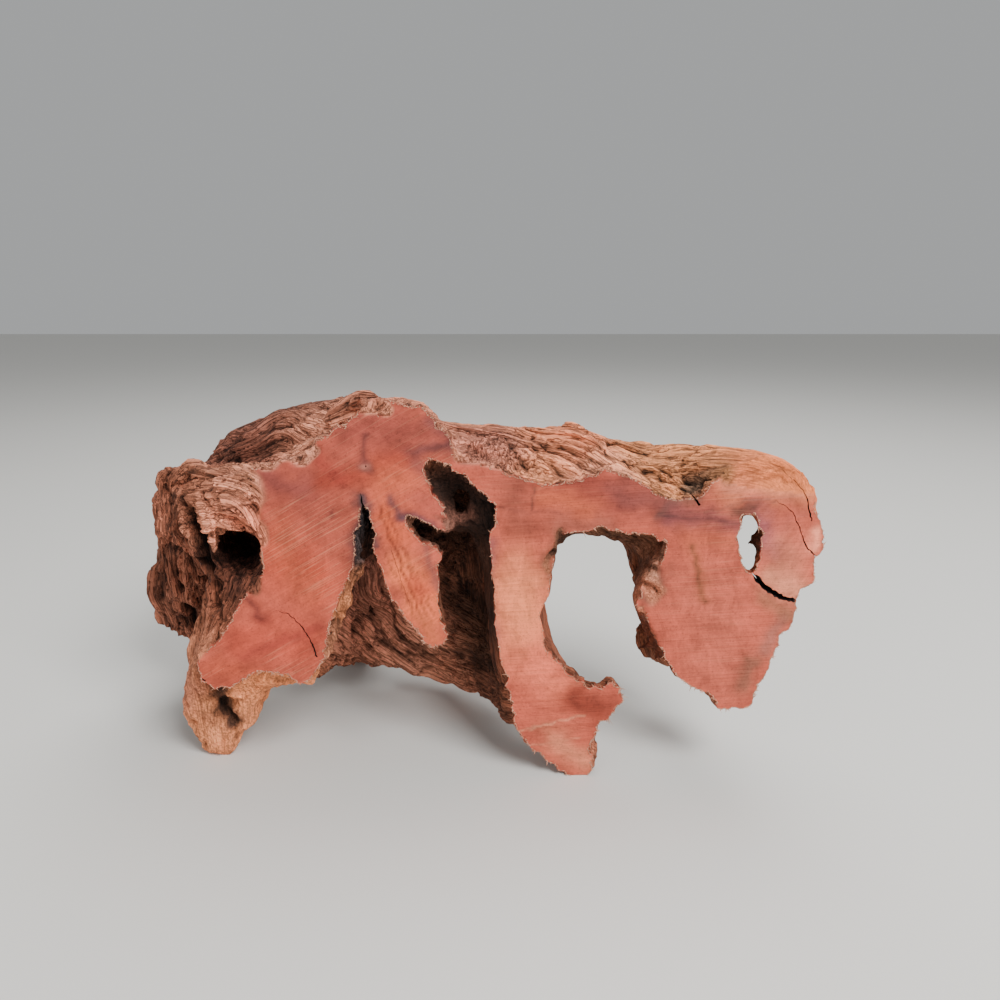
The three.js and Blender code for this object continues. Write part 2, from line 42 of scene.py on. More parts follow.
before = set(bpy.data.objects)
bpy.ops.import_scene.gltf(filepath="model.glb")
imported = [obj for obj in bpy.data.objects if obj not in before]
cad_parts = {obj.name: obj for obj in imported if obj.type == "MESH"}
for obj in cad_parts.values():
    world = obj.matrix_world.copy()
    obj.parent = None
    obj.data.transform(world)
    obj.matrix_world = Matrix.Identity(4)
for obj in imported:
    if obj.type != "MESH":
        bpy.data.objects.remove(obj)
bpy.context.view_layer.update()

MM = 0.001
RIGHT_END = 93.3            # x of the right finger's outermost point
SOLID = np.array([v.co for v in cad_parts["driftwood"].data.vertices])
ORIGIN = np.array((SOLID[:, 0].max() - RIGHT_END * MM, SOLID[:, 1].min(), 0.0))


def linear(text):
    """The linear colour of an sRGB hex value."""
    parts = [int(text[i:i + 2], 16) / 255 for i in (1, 3, 5)]
    return tuple(p / 12.92 if p <= 0.04045 else ((p + 0.055) / 1.055) ** 2.4 for p in parts)


def pigment(text, share=1.0):
    """The wood's own linear colour for a colour seen in studio light, which washes out the stronger tones."""
    seen = np.array(linear(text))
    grey = seen @ np.array((0.2126, 0.7152, 0.0722))
    return grey * (seen / grey) ** (1 + 1.2 * grey) * share


# Lines that the wood fibres follow, each with how far it reaches
GRAIN_LINES = {
    "crest ridge": (9, [(-78, 20, 97), (-50, 20, 106), (-30, 16, 113), (-12, 16, 104), (6, 18, 101),
                        (30, 16, 103), (55, 14, 100), (78, 12, 99), (90, 9, 88), (91, 7, 72)]),
    "arm top": (10, [(-24, 28, 107), (3, 21, 105.6), (18, 12.6, 102.6), (34, 3.5, 97.5), (50, 1.8, 90)]),
    "arm slope": (8, [(-4, 36, 104), (19, 26, 106), (30, 12.8, 101), (44, 8, 94.6), (54, 3, 91)]),
    "arm back": (8, [(0, 40, 100), (30, 32, 104), (60, 24, 99), (82, 14, 97), (91, 9, 86)]),
    "over the eye": (7, [(-100, 16, 90), (-88, 8, 86), (-76, 4, 82), (-69, 3, 74), (-70, 4, 66)]),
    "under the eye": (6, [(-72, 6, 62), (-80, 8, 52), (-90, 10, 44)]),
    "cheek": (8, [(-99, 20, 84), (-97, 18, 70), (-96, 18, 56), (-98, 14, 42)]),
    "foot": (8, [(-93, 10, 40), (-92, 9, 20), (-91, 10, 2)]),
    "left lobe": (12, [(-104, 46, 86), (-118, 52, 68), (-122, 54, 50), (-118, 54, 28)]),
    "leg bark": (7, [(-42, 10, 80), (-47, 10, 62), (-53, 12, 42), (-60, 12, 34)]),
    "outer swirl": (9, [(-60, 34, 70), (-56, 34, 45), (-44, 38, 26), (-25, 38, 16), (-8, 28, 12), (4, 14, 14)]),
    "inner swirl": (9, [(-45, 44, 75), (-42, 44, 50), (-30, 44, 34), (-14, 38, 26), (-2, 24, 30)]),
    "cave back": (9, [(-12, 36, 85), (-10, 34, 60), (-6, 26, 35)]),
    "right leg": (8, [(6, 18, 80), (5, 18, 58), (7, 18, 38), (15, 16, 18), (23, 9, 3)]),
    "lobe back": (9, [(48, 36, 80), (56, 38, 66), (60, 36, 50), (62, 34, 32)]),
    "lobe bark": (8, [(40, 20, 76), (44, 22, 60), (50, 26, 44), (58, 28, 30)]),
    "arm underside": (9, [(14, 16, 76), (30, 16, 75), (46, 20, 72)]),
    "trunk back": (16, [(-100, 70, 88), (-60, 84, 92), (-20, 66, 88), (20, 38, 84), (70, 22, 88)]),
    "trunk top": (14, [(-96, 60, 104), (-60, 66, 106), (-24, 50, 102)]),
    "back foot": (10, [(-58, 66, 60), (-58, 74, 40), (-58, 80, 20), (-58, 80, 2)]),
    "back stub": (10, [(2, 38, 84), (14, 56, 80), (24, 74, 78)]),
    "lobe tip": (9, [(54, 29, 69), (58, 29, 50), (60, 31, 32)]),
}
# Lines along which long fibres are drawn out, in sets that share a channel because they lie far apart
SWEEPS = [
    (15, [[(-112, 58, 92), (-96, 60, 98), (-70, 60, 104), (-40, 48, 100), (-12, 40, 102), (12, 33, 103),
           (31, 22, 103), (45, 18.5, 100), (60, 16, 101), (77, 13, 100), (88, 9, 93), (91, 8, 70)]]),
    (11, [[(-50, 14, 110), (-34, 15, 113), (-22, 24, 109), (3, 21, 105.6), (18, 12.6, 102.6), (34, 4, 97.5),
           (48, 1.8, 90.5), (57, 0, 85)], [(-58, 60, 66), (-58, 72, 44), (-58, 80, 20), (-58, 80, 0)]]),
    (14, [[(-72, 4, 64), (-66, 3, 76), (-74, 5, 86), (-90, 8, 88), (-100, 16, 78), (-99, 16, 60), (-96, 12, 42),
           (-92, 10, 22), (-91, 10, 2)], [(4, 18, 78), (5, 18, 58), (7, 18, 38), (15, 16, 18), (24, 9, 2)]]),
    (14, [[(-96, 40, 92), (-108, 48, 84), (-116, 52, 66), (-118, 54, 44), (-114, 52, 28)],
          [(30, 14, 76), (42, 20, 72), (50, 26, 58), (58, 28, 42), (62, 30, 30)]]),
    (16, [[(-48, 12, 86), (-56, 26, 66), (-54, 36, 44), (-40, 40, 26), (-20, 36, 14), (0, 22, 12), (12, 14, 14)],
          [(0, 36, 84), (14, 56, 80), (26, 76, 78)]]),
]
# Small growths that the solid leaves out: place and radius along each
GROWTHS = {
    "bark rim beside the slit": [(-40.6, 3.0, 70.5, 1.2), (-42.4, 3.2, 66, 1.9), (-44.6, 3.4, 61.5, 1.5),
                                 (-46.4, 3.2, 56.5, 2.0), (-48.2, 3.2, 51.5, 1.4), (-50.0, 3.0, 46.5, 1.9),
                                 (-52.0, 3.0, 41, 1.3)],
    "knob on the tooth": [(-16.5, 2.4, 82.5, 1.5), (-15.0, 2.2, 81.0, 2.0), (-15.6, 2.6, 79.2, 1.4)],
    "peak": [(-50, 16, 110, 3), (-44, 15.5, 113.5, 3.4), (-39.5, 14.5, 115.8, 3.0), (-34, 13, 113.8, 2.6)],
    "peak tip": [(-43, 11, 115.4, 1.6), (-40.4, 9.5, 117.2, 1.3), (-37.6, 8.5, 117.0, 0.9)],
    "splinter in the slot": [(76.4, 6, 75.8, 1.7), (74.6, 5.4, 75.4, 1.1), (72.8, 5, 74.6, 0.7)],
    "splinter in the slot, upper": [(75.4, 6, 77.4, 1.0), (73.6, 5.6, 76.8, 0.6)],
    "lobe strip": [(42.6, 6.5, 62, 1.6), (42.4, 7, 57, 2.4), (44.4, 8, 52, 2.9), (46.6, 9, 47, 2.6), (49.4, 9, 42, 3.2),
                   (53, 9, 37, 2.5), (57, 8, 33, 1.6)],
    "lobe strip spur, high": [(42.8, 7, 60.4, 1.4), (40.4, 6.8, 59.4, 0.7)],
    "lobe strip spur, middle": [(43.8, 8, 54, 1.5), (41.0, 7.6, 52.4, 0.7)],
    "lobe strip spur": [(48, 9, 41.5, 2.0), (44.6, 8.6, 39.8, 1.2), (42.2, 8.4, 38.9, 0.8)],
    "lobe strip spur, low": [(50, 8, 38, 1.6), (47.6, 7.6, 35.8, 1.0)],
    "tongue beside the eye": [(-86.4, 6.8, 86, 2.6), (-85.6, 6.2, 80, 2.5), (-84.9, 6.2, 75.4, 1.8),
                              (-84.5, 6.6, 71.2, 1.0)],
    "tooth over the eye": [(-79, 4.2, 81.5, 1.3), (-78.4, 4.8, 78.8, 0.9)],
    "ear crest": [(-97, 20, 93, 2.2), (-91, 13, 95.2, 2.0), (-84, 8, 95.6, 1.7), (-78, 6, 96.6, 1.4)],
    "ear knob": [(-105.2, 25, 84.2, 2.2), (-105.4, 24, 88.0, 2.9), (-102.6, 22, 91.4, 2.7), (-98, 18, 92.6, 2.1),
                 (-94, 15, 92.6, 1.4)],
    "lobe knob": [(-103, 25, 76.4, 2.2), (-107, 26, 76.6, 2.9), (-108.4, 26, 80.2, 2.8), (-105, 24, 82.8, 1.8)],
    "lump under the arm": [(12.6, 5, 75, 1.0), (13.4, 4.6, 72, 1.3), (12.6, 4.4, 69.6, 0.8)],
    "ridge on the arm": [(6, 22, 105.2, 1.4), (18, 19, 106.0, 1.8), (24, 15.5, 105.2, 1.6), (31, 10, 101.4, 1.2)],
}
# Deep clefts in the weathered wood: places along each, half width, depth and how dark its painted shade is
CLEFTS = {
    "behind the ear": ([(-94.2, 9, 83.4), (-92.9, 8.6, 80), (-90.9, 8, 73.4), (-90.2, 9, 66.8), (-90.6, 9.5, 60.4),
                        (-88.8, 9.6, 55.5)], 3.1, 6.5, 1.0),
    "beside the eye": ([(-88.6, 9.1, 61), (-85.8, 6.6, 55), (-84.0, 4.0, 50.7), (-85.3, 2.2, 45.5)], 1.1, 2.0, 0.8),
    "lobe, left of the ear": ([(-103.9, 20, 83.9), (-101, 22, 76), (-108, 32, 66), (-111.2, 36.6, 58), (-111.4, 37.2, 50.8),
                               (-110, 39.2, 38.8), (-108, 41, 30)], 1.5, 3.4, 0.95),
    "lobe, middle": ([(-107, 30, 72), (-114.6, 38.4, 62), (-115.4, 39.2, 50), (-114.6, 40, 38)], 0.9, 1.8, 0.7),
    "lobe, outer": ([(-114, 36, 73), (-116, 39, 64.6), (-119, 41, 53), (-119.9, 41.7, 41.5)], 1.0, 2.0, 0.75),
    "lobe, near the ear": ([(-96, 12, 76), (-98, 18, 66), (-99.6, 26, 56), (-100.6, 32, 46)], 1.1, 2.2, 0.85),
    "over the lobe": ([(-104, 20, 84.6), (-99, 14, 84.8), (-94.7, 9.4, 84.3), (-90, 7.2, 84.4)], 1.2, 2.2, 0.8),
    "ear curl": ([(-93, 13, 90), (-88.6, 7.4, 90.6), (-84.6, 5, 87.6), (-83.6, 5.2, 82)], 0.8, 1.3, 0.6),
    "ear crest line": ([(-99, 22, 91), (-93, 14, 92.6), (-86, 7, 92.8), (-80, 3, 93)], 0.7, 1.1, 0.5),
    "ear, left curve": ([(-88.4, 13, 93), (-88.4, 8, 89.5), (-89.2, 7.3, 85.7), (-90.4, 7.4, 81)], 0.6, 1.1, 0.75),
    "ear, far left": ([(-105, 24, 86.4), (-99.3, 17, 86.2), (-94.5, 11.5, 87.1)], 0.7, 1.2, 0.8),
    "ear, far left, low": ([(-101, 17, 84.8), (-96.8, 10, 81.9), (-94, 8.1, 80.4)], 0.7, 1.2, 0.8),
    "ear swirl": ([(-85.4, 5.8, 81), (-83.0, 5.2, 86.3), (-78.4, 1, 91.3), (-74.2, 0, 93.3), (-70.2, 0, 93.9)],
                  0.32, 0.6, 0.7),
    "ear swirl, upper": ([(-86.9, 6.3, 83), (-84.7, 5.5, 88.3), (-79.2, 1, 93.9), (-75.1, 0, 95.6)], 0.34, 0.6, 0.7),
    "ear swirl, lower": ([(-84, 5.6, 78.5), (-81.7, 4.7, 83.4), (-77.6, 2, 86.6), (-73, 0, 88.6), (-69.8, 0, 88.8)],
                         0.3, 0.6, 0.65),
    "crack over the eye": ([(-74.4, 0, 88.2), (-71.7, 0, 86.6), (-70.2, 0, 84.8)], 0.34, 0.8, 0.95),
    "crack over the eye, low": ([(-76.6, 0, 87), (-74.4, 0, 85.2), (-72.6, 0, 83.2)], 0.3, 0.8, 0.9),
    "rim over the eye": ([(-82, 4.7, 84), (-79.6, 4.5, 81.8), (-76.4, 2, 80.8), (-73.6, 1, 80)], 0.4, 0.9, 0.8),
    "foot pit": ([(-88.6, 5.0, 27.6), (-87.0, 5.0, 26.4), (-87.4, 6.0, 22.6)], 2.2, 3.2, 1.0),
    "foot pit, low": ([(-88.0, 7.6, 21.4), (-86.2, 8.0, 17.4), (-84.6, 7.6, 14.4)], 1.5, 2.6, 1.0),
    "foot pit, edge": ([(-90.6, 4.6, 17.6), (-88, 5, 15.4), (-84, 6, 12.6)], 0.7, 1.0, 0.6),
    "foot seam": ([(-100.9, 14, 33), (-100.7, 13.4, 28.5), (-98.9, 8.6, 20), (-97.4, 8.6, 12)], 0.9, 1.4, 0.55),
    "foot fold": ([(-93.6, 4.4, 36), (-94.6, 4.8, 26), (-92.4, 4.8, 16), (-92, 5.2, 9)], 0.8, 1.2, 0.4),
    "trunk top, left": ([(-101, 48, 86), (-99.2, 51, 90), (-92.7, 54.1, 96.4), (-85.5, 63.1, 102.8)], 1.4, 2.2, 0.75),
    "trunk top, right": ([(-86, 54, 98), (-79, 54, 100.4), (-73.2, 54.5, 101.7), (-62.9, 56.8, 106.6)], 1.1, 1.8, 0.7),
    "trunk front": ([(-94, 34, 92), (-84, 36, 93.4), (-70, 38, 97), (-58, 36, 103)], 0.9, 1.6, 0.6),
    "arm root": ([(-13, 15, 105.6), (-8.7, 9.9, 101.8), (0, 8.3, 100.9), (11.4, 4.8, 96.8)], 0.4, 1.0, 0.8),
    "arm line": ([(-4, 25, 106), (3, 21.3, 105.6), (17.7, 12.6, 102.6), (33.8, 3.2, 97.9), (48.4, 1.8, 90.6)],
                 0.4, 1.2, 0.85),
    "arm line, second": ([(6, 14, 103.8), (14, 10, 101.6), (25, 5.6, 98.9), (33, 2.4, 96.6)], 0.47, 0.9, 0.90),
    "arm line, third": ([(18.7, 26.7, 106), (29.4, 12.8, 101.8), (43.6, 7.9, 94.6), (54.2, 3.0, 91)], 0.52, 1.2, 1.00),
    "arm line, fourth": ([(22, 24, 105), (32, 15.4, 102), (45, 11.6, 96.6), (55, 5.6, 93.2), (61.7, 1.4, 95)],
                         0.62, 1.3, 1.00),
    "arm line, fifth": ([(30.2, 20.5, 103.4), (45.2, 17.1, 98.9), (57.7, 8.5, 96.8), (67.2, 3.5, 98.4)], 0.52, 1.0, 0.95),
    "arm line, sixth": ([(32, 24, 104), (46, 20.4, 101), (60, 16.6, 100.6), (77.1, 13.0, 100)], 0.52, 0.9, 0.90),
    "arm line, seventh": ([(36, 20, 101.6), (50, 15, 98.4), (62, 11, 99), (74, 8, 100.4), (84, 7, 98.4)],
                          0.47, 0.7, 0.80),
    "arm line, eighth": ([(-10, 20, 105.4), (2, 16, 104.6), (10, 11, 102.4), (20, 5.4, 99), (26, 2.4, 96.6)],
                         0.47, 0.9, 0.85),
    "arm line, ninth": ([(13.2, 12.6, 102.6), (20.2, 6.9, 99.3), (28.0, 0.5, 96.5)], 0.5, 1.0, 0.9),
    "arm line, tenth": ([(-6.0, 17.5, 105.6), (0.0, 11.2, 102.8), (5.7, 5.7, 99.0), (11.4, 3.4, 95.7)], 0.5, 1.0, 0.9),
    "arm line, eleventh": ([(24, 20, 104.6), (29.6, 13.6, 102.1), (37.4, 9.8, 98.1), (45.2, 8.2, 94.6), (49.8, 6.2, 92.6)],
                           0.55, 1.2, 0.95),
    "crack in the arm's bark": ([(49, 7, 94), (54.8, 5.6, 93.1), (58, 3.4, 94), (61.7, 0.4, 95.6)], 0.8, 1.6, 0.95),
    "rim beside the slit": ([(-43.4, 1.6, 63.6), (-41.6, 3.2, 63)], 0.6, 1.2, 0.7),
    "rim beside the slit, middle": ([(-47.6, 1.4, 54.2), (-45.4, 3.4, 53.4)], 0.6, 1.2, 0.7),
    "rim beside the slit, low": ([(-50.6, 1.4, 48.4), (-48.0, 3.4, 48.2)], 0.6, 1.2, 0.7),
    "smooth end line": ([(62, 1.6, 91), (68.6, 2.6, 96), (78.2, 4.0, 98.2), (86, 5, 96)], 0.3, 0.35, 0.45),
    "smooth end line, middle": ([(62.7, 1, 93.7), (74, 3, 97.5), (83.2, 3, 96.3)], 0.32, 0.3, 0.5),
    "smooth end line, low": ([(66, 1.0, 89), (72, 2.0, 93.6), (80, 2.6, 95), (87, 3, 91)], 0.3, 0.3, 0.4),
    "wall fold": ([(-51, 30, 60), (-53.1, 34.8, 44.4), (-52.4, 39.9, 30.9), (-46.1, 42, 20.1)], 1.0, 1.8, 0.6),
    "wall fold, middle": ([(-47, 34, 62), (-48.3, 38.4, 50.3), (-44.5, 42.2, 33.7), (-36.1, 42.9, 21.7), (-21.7, 41.5, 16.4),
                           (-7, 30.3, 12.7)], 0.9, 1.6, 0.6),
    "wall fold, inner": ([(-42, 42, 56), (-40.9, 44, 40.6), (-36, 43.3, 25.4), (-25.3, 42.5, 19.9), (-10.6, 35.5, 19.5)],
                         1.0, 1.6, 0.65),
    "wall fold, high": ([(-30, 44, 52), (-30, 44, 40), (-24, 43, 30), (-14, 38, 26)], 0.9, 1.4, 0.55),
    "back of the trunk": ([(-90, 84, 80), (-60, 100, 84), (-30, 84, 84), (0, 60, 86)], 1.2, 2.2, 0.6),
    "back of the trunk, low": ([(-84, 80, 66), (-60, 92, 66), (-34, 78, 70)], 1.2, 2.2, 0.6),
    "back of the arm": ([(0, 52, 96), (30, 40, 92), (60, 32, 90), (84, 24, 84)], 0.9, 1.6, 0.6),
    "back of the arm, low": ([(6, 46, 80), (34, 38, 80), (60, 36, 78)], 0.8, 1.4, 0.5),
}
# Knots that the fibres run round: centre and radius
KNOTS = [((-110, 60, 92), 10), ((-84, 4, 88), 7), ((-30, 46, 58), 8), ((-20, 30, 30), 9), 
         ((-60, 84, 90), 11), ((-118, 54, 40), 7), ((60, 34, 52), 7), ((-40, 72, 100), 8)]

# How strongly the weather has opened the fibres: place, radius and strength
WEAR = [((20, 24, 104), 26, 1.1), ((46, 14, 100), 18, 1.1), ((82, 6, 95), 13, 0.22), ((70, 3, 95), 7, 0.4),
        ((-40, 40, 40), 30, 0.85), ((-88, 5, 20), 17, 0.95), ((-82, 5, 84), 14, 1.25), ((-46, 3, 56), 10, 1.2), ((-110, 50, 50), 26, 1.4),
        ((48, 24, 60), 18, 0.9), ((44, 8, 50), 8, 1.5), ((-60, 60, 96), 40, 1.1), ((12, 6, 60), 20, 0.35), ((60, 8, 40), 14, 0.4)]
# Where the surface is crumbly rather than fibrous
CRUMBLE = [((-88, 6, 18), 18, 0.6), ((-66, 6, 36), 12, 0.6), ((-82, 4, 82), 9, 0.15), ((-16, 3, 81), 6, 1.0),
           ((44, 5, 60), 9, 0.7), ((45, 8, 47), 6, 0.7), ((-47, 5, 56), 7, 0.5), ((20, 6, 78), 10, 0.6), ((-20, 8, 100), 7, 0.4)]
# Colour of the fibres' crests by place, with painted shade in the eye socket, the cave and under the arm: a small place
# outweighs the large ones round it
WEATHERED_TONES_AND_SHADE = [
    ("ridge above the trunk", (-30, 14, 110), 14, "#c58d76"),
    ("brow left", (-78, 10, 97), 9, "#b5836c"),
    ("brow", (-62, 16, 101), 9, "#cb9780"),
    ("arm root", (-4, 12, 104), 9, "#cc9381"),
    ("arm top", (15, 20, 103), 24, "#efb391"),
    ("arm reddish ridge", (22, 16, 105), 7, "#eaa98a"),
    ("arm front", (30, 5, 98), 8, "#dba58c"),
    ("arm right", (52, 12, 99), 18, "#d39c76"),
    ("smooth end", (80, 4, 95), 15, "#d48a62"),
    ("smooth end, low", (66, 1, 90), 6, "#c87e5f"),
    ("bark at the crack", (57, 4, 93.5), 2.8, "#7c6250"),
    ("bark right of the crack", (62.5, 3, 95.6), 2.6, "#94694a"),
    ("brow, at the face", (-57, 3, 101.5), 5, "#d39e88"),
    ("trunk front", (-64, 48, 101), 9, "#c28d76"),
    ("back root", (-60, 60, 100), 36, "#7e5245"),
    ("back root, left", (-92, 56, 94), 14, "#8a5a4a"),
    ("trunk peak", (-46, 40, 110), 9, "#7e5142"),
    ("left lobe", (-110, 50, 50), 28, "#9f6a56"),
    ("left lobe, top", (-106, 30, 80), 10, "#b07660"),
    ("shoulder", (-100, 22, 88), 11, "#b98068"),
    ("ear", (-90, 8, 88), 7, "#b27c64"),
    ("ear, inner", (-80, 4, 88), 8, "#e8b098"),
    ("ear, low", (-86, 5, 78), 5, "#ecb49b"),
    ("over the eye", (-74, 3, 83), 5, "#d8957c"),
    # Painted shade: the eye socket is darkened for the shade inside it
    ("eye socket", (-80, 14, 68), 8, "#1c1210"),
    ("eye, lower lip", (-78, 6, 61), 5, "#80503f"),
    ("under the eye", (-84, 10, 55), 9, "#9a624c"),
    ("left leg side", (-90, 8, 42), 8, "#b07a62"),
    ("foot", (-88, 6, 18), 17, "#d99f7c"),
    ("foot, left", (-99, 12, 24), 6, "#b98068"),
    ("foot, under the face", (-72, 5, 29), 9, "#e0a27c"),
    ("char on the foot", (-87.4, 5, 26), 2.6, "#1d1513"),
    ("char on the foot, low", (-86.8, 7.6, 19.6), 1.8, "#211815"),
    ("char on the foot, lowest", (-84.8, 7.6, 15), 1.6, "#4a332a"),
    ("rim beside the slit", (-42.4, 3, 66), 3.4, "#a97458"),
    ("rim beside the slit, middle", (-46.6, 3.4, 56), 3.6, "#b8805f"),
    ("rim beside the slit, low", (-50.6, 3, 45), 3.6, "#a5735a"),
    ("behind the slit", (-43, 13, 68), 5, "#5e3c30"),
    ("wall left", (-50, 34, 54), 12, "#a97768"),
    ("wall middle", (-38, 42, 36), 15, "#c08a76"),
    ("wall low", (-28, 40, 20), 12, "#c28f79"),
    # Down to the cave foot: the cave's own char stain with painted shade over it, darkest at the mouth and the heart;
    # the cave patches are the wood's own lighter brown
    ("wall top", (-34, 34, 70), 12, "#4c3026"),
    ("cave mouth", (-14, 5, 93), 5, "#1b1310"),
    ("cave mouth, right", (-7, 6, 87), 5.5, "#1d1411"),
    ("cave heart", (-14, 16, 82), 14, "#33231c"),
    ("cave right", (-4, 5, 80), 6, "#281a15"),
    ("cave right, middle", (-3, 9, 66), 7, "#4a3026"),
    ("cave right, low", (-2.5, 9, 50), 7, "#35241c"),
    ("cave middle", (-12, 36, 62), 10, "#5a3c2f"),
    ("cave patch", (-19, 41, 57), 4, "#7c5241"),
    ("cave patch, high", (-15, 34, 72), 3, "#6a4635"),
    ("cave low", (-12, 38, 40), 8, "#533629"),
    ("cave low right", (-4, 27, 27), 7, "#543729"),
    ("cave foot", (-4, 26, 14), 6, "#7c5140"),
    # Painted shade: the underside of the arm is darkened for the shade under it
    ("arm underside", (34, 12, 75), 12, "#6b4c3c"),
    ("arm underside, left", (20, 6, 77), 5, "#54392d"),
    ("lobe top inside", (44, 12, 69), 6, "#7d5745"),
    ("lobe back", (56, 26, 56), 14, "#74432f"),
    ("lobe bark", (42, 3, 62), 5, "#b37a62"),
    ("lobe bark, high", (45, 5, 71), 4, "#97654f"),
    ("lobe bark, low", (44, 7, 52), 5, "#74412f"),
    ("lobe fringe", (48, 9, 42), 6, "#6e3a28"),
    ("lobe right", (80, 12, 50), 12, "#b77a62"),
    ("slot splinter", (74, 6, 75.6), 3, "#4a2c20"),
    ("cave patch, low", (-13, 36, 50), 3.5, "#7a503d"),
    ("cave patch, right", (-10.2, 35.8, 58.5), 3.5, "#7a503f"),
    ("lobe bark, at the arch", (45.3, 2.3, 70.5), 3.5, "#a87f6c"),
    ("cave patch, left", (-24, 42, 50), 4, "#6c4636"),
    ("right leg back", (10, 16, 50), 16, "#8a5440"),
    ("hook", (24, 8, 14), 12, "#a86f58"),
    ("tooth knob", (-14.2, 3, 81), 3.2, "#8a6052"),
    ("char in the slit", (-40.4, 2, 81), 3.4, "#3a3233"),
    ("char in the slit, low", (-41.4, 2.4, 74.6), 3.2, "#4d4140"),
    ("back foot", (-58, 74, 30), 22, "#7f523f"),
    ("back stub", (16, 60, 80), 18, "#8c5c46"),
]
